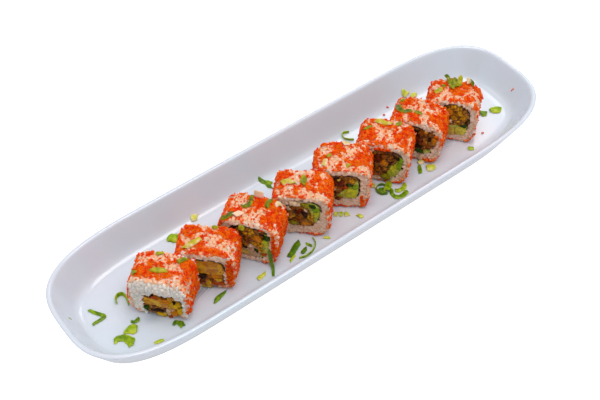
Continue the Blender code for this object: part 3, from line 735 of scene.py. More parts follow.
def bandOf(roll, stations):
    # a ring round the core, or an arch over it where the rice doesn't close under the filling
    closed = not roll["openFoot"]
    bm = bmesh.new()
    first = ringOf(bm, stations[0], closed)
    rows = [first]
    for points in stations[1:]:
        rows.append(extrudeRing(bm, rows[-1], points, closed))
    bmesh.ops.bridge_loops(bm, edges=ringEdges(bm, first, closed) + ringEdges(bm, rows[-1], closed))
    if not closed:
        for end in (0, -1):
            bmesh.ops.contextual_create(bm, geom=[row[end] for row in rows])
    bmesh.ops.recalc_face_normals(bm, faces=bm.faces)
    return bm


def lumps(point, size, seed=0.0):
    return noise.noise(Vector(point) / size + Vector((seed, 0.0, 0.0)))


def coverOf(roll, t, y, seed):
    # above 0 where roe lies: listed patches with ragged edges
    shape = roeShape
    total = shape["base"]
    for spots, weight in ((roll["bare"], shape["bareWeight"]), (roll["heaped"], shape["heapedWeight"])):
        for x, forward, reachX, reachForward in spots:
            away = math.hypot((t - x) / reachX, (-y - forward) / reachForward)
            total += weight * max(0.0, shape["reach"] - away)
    total += (shape["patchAmount"] * lumps((t, y, 0), shape["patchNoise"], seed)
              + shape["edgeAmount"] * lumps((t, y, 3), shape["edgeNoise"], seed))
    return total


def rollSeed(number):
    # keeps one roll's patches apart from the next one's
    return number * 7.0


def juiceAt(roll, number, t, y):
    # how orange the rice is from the roe on it or near it
    shape = roeShape
    near = (coverOf(roll, t, y, rollSeed(number)) + shape["juiceReach"]) / shape["juiceSpan"]
    return shape["juice"] * min(1.0, max(0.0, near))


def turnDistance(roll, x, z):
    # mm round the outline from the middle of the top to the place that faces this one
    distances = roll["outline"]["distance"]
    total = roll["outline"]["total"]
    share = ((math.pi / 2 - math.atan2(z - roll["size"][1] / 2, x)) / math.tau) % 1.0
    t = float(np.interp(share * (len(distances) - 1), range(len(distances)), distances))
    return t if t < total / 2 else t - total


def makeRiceBody(number, roll):
    # the sticky mass that the grains lie in
    shape = riceShape
    half = roll["size"][2] / 2
    angles = ringAngles(roll, shape["outlineSteps"])
    middle = Vector(roll["core"][:2])
    outers, inners = [], []
    for angle in angles:
        outer = riceEdge(roll, angle)
        inner = coreEdge(roll, math.atan2(outer.y - middle.y, outer.x - middle.x), 0.1)
        outers.append(outer)
        inners.append(inner)

    def row(share, y):
        # share 0 is at the nori and 1 at the skin
        points = []
        for outer, inner in zip(outers, inners):
            inward = (inner - outer).normalized()
            place = inner.lerp(outer + inward * shape["coreDepth"], share)
            swell = shape["coreSwell"] * lumps((place.x, y, place.y), shape["coreSwellSize"], number)
            flat = place - inward * swell * (1 if share == 1 else 0)
            out = math.copysign(swell, y) if 0 < share < 1 or abs(y) > half - 1 else 0.0
            if y < 0 and 0 < share < 1:
                out -= faceBulge(roll, place.x, place.y)[0]
            points.append(Vector((flat.x, y + out, max(flat.y, 0.0))))
        return points

    face = half - shape["faceBack"]
    rounded = shape["rounded"]  # mm of the skin at each cut that slopes in
    steps = shape["depthSteps"]
    stations = [row(share, -face) for share in shape["faceShares"]]
    stations += [row(1.0, -face + rounded + (2 * face - 2 * rounded) * i / steps) for i in range(steps + 1)]
    stations += [row(share, face) for share in reversed(shape["faceShares"])]
    bm = bandOf(roll, stations)
    mesh = bpy.data.meshes.new(f"riceBody{number}")
    bm.to_mesh(mesh)
    bm.free()
    stain, juice = [], []
    for x, y, z in (vert.co for vert in mesh.vertices):
        onFace = abs(y) > face - 0.75 * rounded
        stain.append(roll["faceStain"] if onFace else 1.0)
        juice.append(0.0 if onFace else juiceAt(roll, number, turnDistance(roll, x, z), y))
    setNumbers(mesh, "stain", stain)
    setNumbers(mesh, "juice", juice)
    setNumbers(mesh, "shade", [shape["coreShade"]] * len(stain))
    return mesh


def grainPattern():
    # one short grain, thicker in the middle and a little bent
    bm = bmesh.new()
    lying = Matrix.Rotation(math.pi / 2, 4, "Y")
    bmesh.ops.create_uvsphere(bm, u_segments=8, v_segments=6, radius=0.5, matrix=lying)
    for vert in bm.verts:
        vert.co.z -= grainShape["bend"] * vert.co.x**2
    bmesh.ops.triangulate(bm, faces=bm.faces)
    bm.verts.index_update()
    return bm


def makeGrains(number, roll, draw):
    shape = grainShape
    width, height, depth = roll["size"]
    half = depth / 2
    total = roll["outline"]["total"]
    puff = roll.get("puff", 0.0)
    places, stains, juices, shades = [], [], [], []

    def put(point, normal, sunk, stain, juice, tilt=shape["tilt"]):
        leaning = (normal + Vector([draw.uniform(-tilt, tilt) for _ in range(3)])).normalized()
        size = (shape["length"] * draw.uniform(*shape["lengths"]),
                shape["width"] * draw.uniform(*shape["widths"]),
                shape["thickness"] * draw.uniform(*shape["widths"]))
        place = placeOn(point - normal * sunk, leaning, draw.uniform(0, math.tau), size)
        reachDown = 0.5 * Vector(place[2][:3]).length
        place[2][3] = max(place[2][3], reachDown)  # a grain at the foot lies on the plate
        places.append(place)
        stains.append(stain)
        juices.append(juice)
        shades.append(draw.random())

    # on the skin
    low, high = (-total / 2, -half + shape["inset"]), (total / 2, half - shape["inset"])
    for t, y in spreadPoints(low, high, shape["spacing"], draw):
        point, normal = skinAt(roll, t, y)
        if point.z > shape["faceInset"]:
            sunk = shape["sunk"] + draw.uniform(*shape["sunkStray"])
            stain = 1.0 if draw.random() < shape["pinkShare"] else shape["paleStain"]
            put(point, normal, sunk, stain, juiceAt(roll, number, t, y))
    # on both cuts, outside the nori
    low, high = (-width / 2 - 1, shape["faceInset"]), (width / 2 + 1, height - shape["faceInset"])
    for side in (-1, 1):
        for x, z in spreadPoints(low, high, shape["faceSpacing"], draw):
            edge = riceEdge(roll, math.atan2(z - height / 2, x))
            reach = (edge - Vector((0, height / 2))).length - shape["faceInset"]
            if math.hypot(x, z - height / 2) < reach and not inCore(roll, x, z):
                out, slope = faceBulge(roll, x, z) if side == -1 else (0.0, 0.0)
                lift = shape["puffTilt"] * puff
                sunk = shape["faceSunk"] + draw.uniform(*shape["faceSunkStray"]) - puff * draw.random()
                stain = roll["faceStain"] * draw.uniform(*shape["faceStains"])
                put(Vector((x, side * (half + out), z)), Vector((0, side, lift - slope)), sunk, stain, 0.0,
                    shape["faceTilt"] + lift)
    # hanging over the filling from the top of the front cut
    for _ in range(roll.get("overhang", 0)):
        toward = math.radians(draw.uniform(shape["hangFrom"], shape["hangTo"]))
        spot = coreEdge(roll, toward, draw.uniform(*shape["hangReach"]))
        out = (half + shape["hangBulge"] * faceBulge(roll, spot.x, spot.y)[0]
               + draw.uniform(*shape["hangOut"]))
        put(Vector((spot.x, -out, spot.y)), Vector((0, -1, shape["hangTurn"])), shape["hangSunk"],
            shape["hangStain"], 0.0, shape["hangTilt"])
    pattern = grainPattern()
    mesh = joinCopies(f"riceGrains{number}", pattern, places, stain=stains, juice=juices, shade=shades)
    pattern.free()
    return mesh


def makeRoe(number, roll, surface, draw):
    shape = roeShape
    half = roll["size"][2] / 2
    total = roll["outline"]["total"]
    places, shades = [], []

    def put(point, normal):
        hit, _, _, _ = surface.ray_cast(point + normal * shape["above"], -normal, shape["through"])
        if hit is None or hit.z < shape["across"]:
            return
        across = shape["across"] * draw.uniform(*shape["sizes"])
        middle = hit + normal * across * draw.uniform(*shape["bed"])
        places.append(placeOn(middle, normal, draw.uniform(0, math.tau), [across / 2] * 3))
        shades.append(draw.random())

    low, high = (-total / 2, -half + shape["edge"]), (total / 2, half - shape["edge"])
    for t, y in spreadPoints(low, high, shape["spacing"], draw):
        point, normal = skinAt(roll, t, y)
        stray = draw.random() < shape["stray"]
        if point.z > shape["lowest"] and (stray or coverOf(roll, t, y, rollSeed(number)) > 0):
            put(point, normal)
    for x, z, reachX, reachZ in roll["spill"]:
        for dx, dz in spreadPoints((-reachX, -reachZ), (reachX, reachZ), shape["spacing"], draw):
            ragged = shape["spillRagged"] * lumps((dx, dz, 0), shape["spillNoise"], number)
            if math.hypot(dx / reachX, dz / reachZ) < 1 + ragged and z + dz > shape["spillLowest"]:
                put(Vector((x + dx, -half, z + dz)), Vector((0, -1, 0)))
    pattern = bmesh.new()
    bmesh.ops.create_icosphere(pattern, subdivisions=1, radius=1.0)
    pattern.verts.index_update()
    mesh = joinCopies(f"roe{number}", pattern, places, shade=shades)
    pattern.free()
    return mesh


def makeNori(number, roll):
    # the dark sheet round the filling, with a wavering edge that stands a little proud of the cut
    half = roll["size"][2] / 2
    shape = noriShape
    middle = Vector(roll["core"][:2])
    rows = ([], [], [], [])

    def waverAt(toward, radius, seed, size):
        return lumps((math.cos(toward) * radius, number + seed, math.sin(toward) * radius), size)

    for angle in ringAngles(roll, shape["steps"]):
        outer = riceEdge(roll, angle)
        toward = math.atan2(outer.y - middle.y, outer.x - middle.x)
        waver = shape["waver"] * waverAt(toward, *shape["waverPlace"])
        thick = shape["thick"] * (1 + shape["uneven"] * waverAt(toward, *shape["unevenPlace"]))
        level = shape["hidden"] + (shape["proud"] - shape["hidden"]) * noriShown(roll, toward)
        edge = half + level + shape["ragged"] * waverAt(toward, *shape["raggedPlace"])
        out = coreEdge(roll, toward, shape["outset"] + waver)
        inner = coreEdge(roll, toward, shape["outset"] + waver - thick)
        for row, (place, y) in zip(rows, ((out, -edge), (out, edge), (inner, edge), (inner, -edge))):
            row.append(Vector((place.x, y, place.y)))
    name = f"noriSheet{number}"
    mesh = meshOf(bandOf(roll, rows), name, rollSpace(roll))
    return addPiece(name, mesh, "nori", "nori", [f"nori_{number}"])


# How far each filling's surface swells, as height and size of its broad and fine lumps in mm
fillingRelief = dict(
    tempura=((1.5, 3.0), (0.7, 1.1)), omelette=((0.5, 5.0), (0.12, 1.0)), avocado=((0.5, 5.0), (0.1, 1.5)),
    prawn=((0.8, 2.6), (0.25, 0.9)), crab=((0.7, 2.6), (0.3, 0.9)))
fillingVoxel = 0.55  # mm
weldReach = 0.01     # mm


def makeFilling(kind, number):
    # the solid's own form, made finer and given the food's relief
    bm = bmesh.new()
    bm.from_mesh(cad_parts[f"{kind}_{number}"].data)
    bmesh.ops.remove_doubles(bm, verts=bm.verts, dist=weldReach * mm)
    mesh = bpy.data.meshes.new("raw")
    bm.to_mesh(mesh)
    bm.free()
    raw = bpy.data.objects.new("raw", mesh)
    bpy.context.scene.collection.objects.link(raw)
    remesh = raw.modifiers.new("finer", "REMESH")
    remesh.mode = "VOXEL"
    remesh.voxel_size = fillingVoxel * mm
    made = bpy.data.meshes.new_from_object(raw.evaluated_get(bpy.context.evaluated_depsgraph_get()))
    bpy.data.objects.remove(raw)
    made.name = f"{kind}Filling{number}"
    places = [vert.co / mm for vert in made.vertices]
    normals = [vert.normal.copy() for vert in made.vertices]
    moved = []
    for place, normal in zip(places, normals):
        swell = sum(height * noise.noise(place / size) for height, size in fillingRelief[kind])
        spot = place + normal * swell
        moved.extend((spot.x * mm, spot.y * mm, max(spot.z, floorHeight + gap) * mm))
    made.vertices.foreach_set("co", moved)
    made.materials.clear()
    slotName = "prawn" if kind == "crab" else kind
    return addPiece(f"{kind}Filling{number}", made, kind, slotName, [f"{kind}_{number}"])


# Colours of the bits that show at the cut, and how rough their outline is
bitTints = dict(
    amber=(206, 124, 4, 0.16), yellow=(218, 168, 10, 0.12), gold=(200, 144, 22, 0.3),
    # darkGap: near-black bits in the gaps between pieces of filling, in part dark seaweed and in part painted
    # shade
    brown=(146, 82, 14, 0.34), maroon=(112, 38, 6, 0.34), darkGap=(48, 24, 8, 0.3), rust=(176, 74, 4, 0.2),
    cream=(206, 174, 76, 0.16), flesh=(230, 202, 172, 0.2), lime=(190, 192, 42, 0.08),
    pea=(210, 200, 74, 0.08), green=(128, 162, 16, 0.12), olive=(146, 134, 20, 0.2), leaf=(44, 78, 8, 0.24))
# their depth in mm and how far their middle lies behind the cut, how square the smooth and the rough ones
# are, the lumps on them, how much of the patches with painted shade and highlight the smoother ones have,
# and how far they stray on the back cut
bitShape = dict(deep=2.5, deepShare=0.12, back=0.35, smoothBelow=0.15, smoothPower=0.72, power=0.9,
                lumpy=2.2, lumpFine=1.6, grainFine=4, evenBelow=0.22, evenSpeckleAndShading=0.45, strayX=1.5,
                strayZ=1, lowest=0.2)


def makeBits(number, roll, draw):
    # bits of filling, and dark ones for painted shade in its gaps, standing out of the front cut, and the
    # same mix in other places on the back one
    settings = bitShape
    bm = bmesh.new()
    colours, specklesAndShading = [], []
    half = roll["size"][2] / 2
    middleX = roll["core"][0]
    strayX, strayZ = settings["strayX"], settings["strayZ"]
    for side in (-1, 1):
        for kind, x, z, width, height, angle in roll["bits"]:
            red, green, blue, rough = bitTints[kind]
            if side == 1:
                x = 2 * middleX - x + draw.uniform(-strayX, strayX)
                z += draw.uniform(-strayZ, strayZ)
                angle = -angle
            ball = bmesh.ops.create_icosphere(bm, subdivisions=3, radius=1.0)["verts"]
            deep = settings["deep"] + settings["deepShare"] * min(width, height)
            seed = draw.uniform(0, 90)
            shape = (Matrix.Translation((x, side * (half - settings["back"]), z))
                     @ Matrix.Rotation(math.radians(-angle), 4, "Y")
                     @ Matrix.Diagonal((width / 2, deep / 2, height / 2, 1)))
            power = settings["smoothPower"] if rough < settings["smoothBelow"] else settings["power"]
            for vert in ball:
                corner = Vector([math.copysign(abs(value) ** power, value) for value in vert.co])
                corner *= (1 + rough * settings["lumpy"] * lumps(corner * settings["lumpFine"], 1.0, seed)
                           + rough * lumps(corner * settings["grainFine"], 1.0, seed))
                place = shape @ corner
                vert.co = (place.x, place.y, max(place.z, settings["lowest"]))
            colours += [tint(red, green, blue)] * len(ball)
            even = rough < settings["evenBelow"]
            # smoother bits get less of the patchy colour with its painted shade and painted highlight
            specklesAndShading += [settings["evenSpeckleAndShading"] if even else 1.0] * len(ball)
    mesh = meshOf(bm, f"fillingBitsAndPaintedShade{number}", rollSpace(roll))
    layer = mesh.attributes.new("tint", "FLOAT_COLOR", "POINT")
    layer.data.foreach_set("color", np.array(colours, np.float32).ravel())
    setNumbers(mesh, "speckleAndShading", specklesAndShading)
    return addPiece(f"fillingBitsAndPaintedShade{number}", mesh, "bits", "tempura")


surfaces = {}
for number, roll in rolls.items():
    draw = random.Random(100 + number)
    roll["outline"] = measureOutline(roll)
    body = makeRiceBody(number, roll)
    grains = makeGrains(number, roll, draw)
    surface = treeOf([body, grains])
    roe = makeRoe(number, roll, surface, draw)
    surfaces[number] = treeOf([body, grains, roe])
    toWorld = Matrix.Scale(mm, 4) @ rollSpace(roll)
    for mesh in (body, grains, roe):
        mesh.transform(toWorld)
    addPiece(f"riceBody{number}", body, "rice", "rice", [f"rice_{number}"])
    addPiece(f"riceGrains{number}", grains, "rice", "rice")
    addPiece(f"roe{number}", roe, "roe", "roe")
    makeNori(number, roll)
    for kind in roll["fillings"]:
        makeFilling(kind, number)
    makeBits(number, roll, draw)
    print("roll", number, "made:", len(grains.polygons), "rice and", len(roe.polygons), "roe triangles")


# Spring onion. A strand is its points, its width, its height, how pale it is from 0 to 1, how much of its
# width its tips keep, how many times as wide its far end is, and how far its near and far ends are lifted.

onionShape = dict(wall=0.6, across=5, steps=5, arch=0.26, ripple=0.45, rippleSize=2.2, slant=0.9, lean=0.25,
                  wander=0.12, wanderSize=1.8, hug=0.6, clear=0.15, standClear=0.1, rimPale=0.26,
                  middlePale=-0.08, patchPale=0.4, patchSize=2.0)


def strand(*points, width=2.4, tall=1.0, pale=0.3, ends=0.7, grow=1.0, lift=(0.0, 0.0)):
    return points, width, tall, pale, ends, grow, lift


def smoothPath(points, steps):
    ends = [points[0] * 2 - points[1], *points, points[-1] * 2 - points[-2]]
    path = []
    for a, b, c, d in zip(ends, ends[1:], ends[2:], ends[3:]):
        for i in range(steps):
            t = i / steps
            path.append(0.5 * (2 * b + (c - a) * t + (2 * a - 5 * b + 4 * c - d) * t**2
                               + (3 * b - a - 3 * c + d) * t**3))
    return path + [points[-1]]


def addStrand(bm, piece, heightAt, draw, pales):
    # a flat strip arches over what it lies on, and a tall one stands on its edge like a slice of a ring
    shape = onionShape
    points, width, tall, pale, ends, grow, lift = piece
    path = smoothPath([Vector((*point, 0)) for point in points], shape["steps"])
    last = len(path) - 1
    standing = tall > width
    lean = draw.uniform(-shape["lean"], shape["lean"])
    seed = draw.uniform(0, 90)
    slants = [draw.uniform(-1, 1) * shape["slant"] * width for _ in range(2)]
    base = [heightAt(point.x, point.y) for point in path]
    row = None
    for i, point in enumerate(path):
        ahead = (path[min(i + 1, last)] - path[max(i - 1, 0)]).normalized()
        side = Vector((-ahead.y, ahead.x, 0))
        narrow = ends + (1 - ends) * (1 - abs(2 * i / last - 1) ** 3) ** 0.6
        ripple = shape["ripple"] * lumps(point, shape["rippleSize"], seed)
        narrow *= (1 + (grow - 1) * i / last) * (1 + ripple)
        if standing:
            narrow = min(narrow, 1.0)
        slant = slants[0] * max(0.0, 1 - 3 * i / last) + slants[1] * max(0.0, 3 * i / last - 2)
        level = base[i] if standing else (base[max(i - 1, 0)] + base[i] + base[min(i + 1, last)]) / 3
        raised = lift[0] + (lift[1] - lift[0]) * i / last
        spots = []
        for k in range(shape["across"]):
            share = k / (shape["across"] - 1)
            if standing:
                height = level + shape["standClear"] + tall * narrow * share
                spot = point + side * lean * tall * share + up * height
            else:
                wander = shape["wander"] * lumps(point, shape["wanderSize"], seed + 9)
                place = point + side * width * narrow * (share - 0.5 + wander)
                place += ahead * slant * (share - 0.5)
                rest = shape["hug"] * heightAt(place.x, place.y) + (1 - shape["hug"]) * level
                bow = shape["arch"] * width * (1 - (2 * share - 1) ** 2)
                spot = Vector((place.x, place.y, rest + shape["clear"] + raised + bow * min(1.0, tall)))
            spots.append(spot)
            away = abs(2 * share - 1)
            patch = shape["patchPale"] * lumps(spot, shape["patchSize"])
            pales.append(min(1.0, max(0.0, pale + shape["rimPale"] * away**2 + shape["middlePale"] + patch)))
        row = ringOf(bm, spots, closed=False) if row is None else extrudeRing(bm, row, spots, closed=False)


def makeOnion(name, strands, heightAt, space, draw, nodes=(), finish="onion"):
    bm = bmesh.new()
    pales = []
    for piece in strands:
        addStrand(bm, piece, heightAt, draw, pales)
    bmesh.ops.recalc_face_normals(bm, faces=bm.faces)
    mesh = meshOf(bm, name, space)
    setNumbers(mesh, "pale", pales)
    piece = addPiece(name, mesh, finish, "onion", nodes)
    giveWall(piece, onionShape["wall"], 1.0)
    smoothOut(piece)


# on each roll, as mm to the right of its middle and forward of it
onionOnRolls = {
    1: (strand((-4.8, 3.7), (0.0, 3.2), (4.4, 2.0), width=4.2, pale=0.42),
        strand((-17.0, 4.4), (-15.4, 7.6), width=3.4, pale=0.4),
        strand((-6.0, -9.6), (-1.0, -11.0), width=2.4, pale=0.45),
        strand((9.6, -5.4), (12.0, -8.4), (14.4, -10.6), width=2.8, pale=0.25, ends=0.5)),
    2: (strand((-13.1, 9.0), (-8.6, 4.8), (-3.6, 0.4), width=4.4, pale=0.72),
        strand((2.4, -10.6), (6.4, -11.0), width=2.2, tall=1.4, pale=0.4)),
    3: (strand((-18.2, 11.0), (-14.6, 10.0), (-11.4, 6.6), width=3.4, pale=0.08),
        strand((-9.8, 9.2), (-5.8, 5.2), width=4.6, tall=3.0, pale=1.4, ends=0.9),
        strand((-3.4, -10.6), (-2.4, -5.0), (-4.2, -1.2), (-7.8, -0.8), width=3.0, tall=1.6, pale=0.15),
        strand((-1.8, -10.0), (5.2, -10.4), width=3.0, tall=6.4, pale=1.6, ends=0.85),
        strand((11.2, -10.4), (8.8, -8.2), (9.2, -3.6), width=2.8, pale=0.2),
        strand((14.0, -9.8), (17.0, -8.6), width=4.6, tall=2.4, pale=0.95)),
    4: (strand((-14.6, 1.7), (-10.3, -0.6), (-6.0, 1.7), width=4.2, pale=0.76),
        strand((0.8, -6.0), (0.0, 2.8), width=4.0, pale=0.25, ends=0.85)),
    5: (strand((2.4, 9.4), (5.2, 9.0), width=3.6, pale=0.45),
        strand((-13.4, 10.0), (-12.0, 3.6), width=3.6, pale=0.85),
        strand((-1.2, -11.2), (4.2, -10.8), width=3.6, tall=2.2, pale=0.95),
        strand((-11.4, 2.0), (-8.6, -0.6), width=2.2, pale=0.3)),
    6: (strand((-8.9, -9.6), (-2.7, -8.0), (3.4, -7.6), width=4.6, pale=0.66, grow=0.8),
        strand((5.4, -8.2), (9.8, -10.6), width=2.8, pale=0.25),
        strand((-16.0, -1.0), (-10.9, -4.0), width=2.4, pale=0.35)),
    7: (strand((-17.2, -4.6), (-15.2, 1.4), (-10.4, 4.3), (-6.9, 2.6),
               width=4.2, tall=1.4, pale=0.1, grow=0.7),
        strand((-3.8, 2.2), (2.1, 3.8), width=3.0, pale=0.25),
        strand((-16.6, -7.0), (-13.4, -8.6), width=2.4, tall=2.0, pale=0.3)),
    8: (strand((-14.6, 3.4), (-9.4, -0.4), width=3.6, tall=1.2, pale=0.62),
        strand((-10.0, -2.4), (-7.8, -4.2), width=2.2, pale=0.3),
        strand((-5.6, -9.4), (-2.8, -5.8), (-0.8, -1.8), width=4.4, tall=1.4, pale=0.12, lift=(1.6, 0.2)),
        strand((-2.2, -9.8), (0.2, -6.2), (1.6, -2.6), width=3.8, tall=1.4, pale=0.24, lift=(2.6, 0.6)),
        strand((-5.2, -4.6), (-0.6, -1.0), width=3.2, tall=1.2, pale=0.34, lift=(1.4, 0.8)),
        strand((-5.4, -8.6), (-7.0, -9.8), (-8.4, -10.8), width=3.2, tall=1.2, pale=0.2, lift=(1.8, 4.6)),
        strand((2.8, -4.8), (2.4, -7.8), (1.8, -10.6), width=3.2, tall=1.2, pale=0.58, lift=(0.4, 4.8)),
        strand((8.8, -7.8), (8.4, -10.8), width=2.8, tall=1.2, pale=0.98, lift=(0.6, 3.8)),
        strand((9.8, -9.6), (13.0, -7.8), width=3.0, tall=1.2, pale=0.1, ends=0.4, lift=(2.8, 1.4))),
}
# on the plate, each for the solid of the same name
onionOnPlate = {
    "onion_fork_1": strand((-174.4, 16.3), (-171.6, 10.6), (-168.4, 5.6), (-173.2, 4.8), (-178.4, 4.6),
                           width=2.3, pale=0.16),
    "onion_strand_1": strand((-174.0, -15.4), (-170.5, -14.9), (-166.4, -17.8), (-163.8, -24.0),
                             width=3.0, pale=0.28, grow=2.6),
    "onion_piece_1": strand((-163.0, -12.2), (-156.4, -16.0), width=6.8, tall=1.8, pale=0.42),
    "onion_sliver_1": strand((-157.0, -8.4), (-154.8, -10.6), (-151.0, -9.4),
                             width=2.3, pale=0.1, ends=0.3),
    "onion_hook": strand((-156.4, 8.6), (-154.8, 12.6), (-151.2, 13.0), (-150.4, 9.2), (-152.0, 3.4),
                         width=2.2, tall=4.2, pale=0.35, grow=0.7),
    "onion_pale_1": strand((-153.8, -32.4), (-147.4, -34.0), width=2.2, pale=0.6),
    "onion_sliver_2": strand((-136.4, -28.2), (-133.2, -26.9), (-132.6, -33.2),
                             width=2.4, tall=2.2, pale=0.12),
    "onion_leaf_1": strand((-104.8, -29.4), (-98.4, -27.8), (-93.2, -27.2),
                           width=3.8, pale=0.12, ends=0.3, grow=0.6),
    "onion_piece_2": strand((-99.4, 35.4), (-96.2, 32.4), (-93.2, 30.0),
                            width=8.0, tall=2.0, pale=0.36, ends=0.55),
    "onion_pale_2": strand((-77.6, 39.0), (-72.4, 38.2), width=4.4, tall=1.6, pale=0.82),
    "onion_pale_3": strand((-70.6, -32.3), (-62.8, -31.0), width=3.2, tall=1.6, pale=0.75),
    "onion_strip_1": strand((-28.2, -23.8), (-32.6, -25.4), (-37.4, -28.0), (-42.0, -30.4),
                            width=4.2, pale=0.02, ends=0.85),
    "onion_leaf_2": strand((-33.4, -32.8), (-27.4, -31.2), width=2.8, pale=0.1, ends=0.3),
    "onion_arc_1": strand((-18.8, -26.4), (-20.0, -31.6), (-25.9, -35.9), (-32.4, -36.9), (-37.2, -35.2),
                          width=1.8, tall=2.2, pale=0.14),
    "onion_fork_2": strand((-17.2, 40.4), (-14.6, 35.0), (-14.2, 27.6), width=3.8, pale=0.1),
    "onion_curl_1": strand((66.2, 36.4), (61.2, 37.8), (60.2, 33.2), (65.0, 29.0),
                           width=1.8, tall=2.6, pale=0.36),
    "onion_curl_2": strand((49.6, -28.0), (45.6, -25.6), (44.9, -21.0), (48.2, -18.4), (52.0, -19.6),
                           (53.2, -22.8), width=2.4, tall=3.8, pale=0.1),
    "onion_strand_2": strand((54.8, -25.8), (52.2, -30.6), (53.6, -35.0), (58.2, -36.0), (62.8, -34.6),
                             width=2.8, tall=1.6, pale=0.18, grow=1.5),
    "onion_arc_2": strand((56.0, -28.8), (59.2, -30.8), (63.0, -30.6), (66.4, -28.6),
                          width=3.2, tall=1.8, pale=0.46),
    "onion_stick": strand((86.6, -21.0), (81.8, -28.0), width=2.8, tall=1.8, pale=0.15),
    "onion_piece_3": strand((88.8, -26.6), (95.2, -29.0), width=6.6, tall=1.8, pale=0.74),
    "onion_piece_4": strand((160.0, -9.2), (165.0, -12.8), width=5.6, tall=2.0, pale=0.16),
    "onion_piece_5": strand((168.8, -11.8), (177.2, -16.2), width=7.2, tall=1.8, pale=0.48, ends=0.4),
}
# too small for a solid of their own, or leaning on one that has its own
smallOnion = (
    strand((-25.7, -27.5), (-23.5, -32.3), width=2.0, pale=0.15),
    strand((-38.0, -31.0), (-44.1, -33.6), width=1.8, pale=0.6),
    strand((-131.6, -27.6), (-130.8, -33.0), width=2.4, tall=1.6, pale=0.1, ends=0.3),
    strand((-165.9, -19.2), (-167.0, -25.1), width=3.4, pale=0.35),
    strand((87.0, -19.2), (91.4, -19.6), width=4.6, tall=2.0, pale=1.0),
    strand((127.4, -30.8), (130.8, -33.5), width=3.8, pale=0.5),
    strand((55.6, 29.2), (59.8, 28.2), width=3.4, pale=0.78),
    strand((124.3, 42.2), (128.2, 39.3), width=5.0, tall=1.2, pale=0.7),
    strand((130.2, 38.0), (135.1, 36.1), width=4.4, tall=1.2, pale=0.74),
    strand((6.6, -19.0), (9.0, -20.6), width=4.4, pale=0.7),
    strand((9.7, -21.4), (11.9, -22.8), width=4.4, pale=0.62),
    strand((12.6, -23.6), (15.0, -25.2), width=4.4, pale=0.74),
    strand((18.8, -31.5), (21.6, -31.9), width=3.4, pale=0.66),
    strand((-13.5, 35.7), (-11.0, 31.4), width=2.6, pale=0.35),
    strand((-12.5, -31.0), (-8.8, -33.9), width=2.0, pale=0.74),
    strand((45.4, -17.8), (47.4, -13.9), width=2.8, pale=0.8),
    strand((57.4, -20.4), (53.6, -23.8), (48.4, -27.4), width=4.4, tall=1.4, pale=0.36, lift=(0.6, 3.8)),
    strand((47.6, -20.6), (49.0, -25.4), width=5.0, pale=0.0),
    strand((-189.8, 12.8), (-188.6, 11.6), width=1.4, pale=0.3),
)


def plateHeight(x, y):
    hit, _, _, _ = plateTree.ray_cast(Vector((x, y, 60)) * mm, -up)
    return hit.z / mm


def rollHeight(number):
    surface = surfaces[number]
    top = rolls[number]["size"][1]

    def heightAt(x, y):
        hit, _, _, _ = surface.ray_cast(Vector((x, y, top + 20)), -up)
        return hit.z if hit else top

    return heightAt


for name, piece in onionOnPlate.items():
    draw = random.Random(name)
    makeOnion(name.replace("onion_", "springOnion_"), [piece], plateHeight, Matrix(), draw, [name])
makeOnion("springOnion_scraps", smallOnion, plateHeight, Matrix(), random.Random("scraps"))
for number, strands in onionOnRolls.items():
    turned = [([(x, -forward) for x, forward in points], *rest) for points, *rest in strands]
    makeOnion(f"springOnion_roll_{number}", turned, rollHeight(number), rollSpace(rolls[number]),
              random.Random(f"roll {number}"), finish="onionStained")

# a long leaf that hangs down the third roll's front and lies on the plate, as points in the roll's space
hangingLeaf = dict(
    roll=3, width=2.6, taper=0.25, bow=0.5, across=(-0.5, -0.25, 0, 0.25, 0.5), pale=0.05, rimPale=0.1,
    points=((15.4, -12.6, 16.5), (15.6, -13.6, 12.0), (16.4, -14.0, 6.0), (18.6, -16.6, 1.0),
            (20.2, -22.0, 0.9)))


def makeHangingLeaf():
    shape = hangingLeaf
    bm = bmesh.new()
    path = smoothPath([Vector(point) for point in shape["points"]], onionShape["steps"])
    row, pales = None, []
    for i, point in enumerate(path):
        along = i / (len(path) - 1)
        wide = shape["width"] * (1 - shape["taper"] + shape["taper"] * math.sin(math.pi * along))
        spots = [point + Vector((wide * share, shape["bow"] * (1 - abs(2 * share)), 0))
                 for share in shape["across"]]
        pales += [shape["pale"] + shape["rimPale"] * abs(share) for share in shape["across"]]
        row = ringOf(bm, spots, closed=False) if row is None else extrudeRing(bm, row, spots, closed=False)
    bmesh.ops.recalc_face_normals(bm, faces=bm.faces)
    mesh = meshOf(bm, "springOnion_hanging", rollSpace(rolls[shape["roll"]]))
    setNumbers(mesh, "pale", pales)
    leaf = addPiece("springOnion_hanging", mesh, "onion", "onion")
    giveWall(leaf, onionShape["wall"], -1.0)
    smoothOut(leaf)


makeHangingLeaf()
print("spring onion made")


# Roe that fell on the plate, two eggs at each place

looseRoe = dict(places=((106.6, 39.1), (99.8, 35.3), (147.2, -25.6), (189.9, -12.6)), second=(0.7, -0.5),
                lift=0.6, shade=0.4)


def makeLooseRoe():
    across = roeShape["across"]
    places = []
    for x, y in looseRoe["places"]:
        for dx, dy in ((0.0, 0.0), looseRoe["second"]):
            z = plateHeight(x + dx, y + dy) + looseRoe["lift"] * across
            places.append(Matrix.Translation((x + dx, y + dy, z)) @ Matrix.Scale(across / 2, 4))
    pattern = bmesh.new()
    bmesh.ops.create_icosphere(pattern, subdivisions=2, radius=1.0)
    pattern.verts.index_update()
    mesh = joinCopies("roeLoose", pattern, places, shade=[looseRoe["shade"]] * len(places))
    pattern.free()
    mesh.transform(Matrix.Scale(mm, 4))
    addPiece("roeLoose", mesh, "roe", "roe")


makeLooseRoe()


# The setting: floor, lights and camera

view = dict(azimuth=-37.56, elevation=50.0, distance=0.7536, target=(-0.0018, 0.0100, 0.0), lens=61.694)
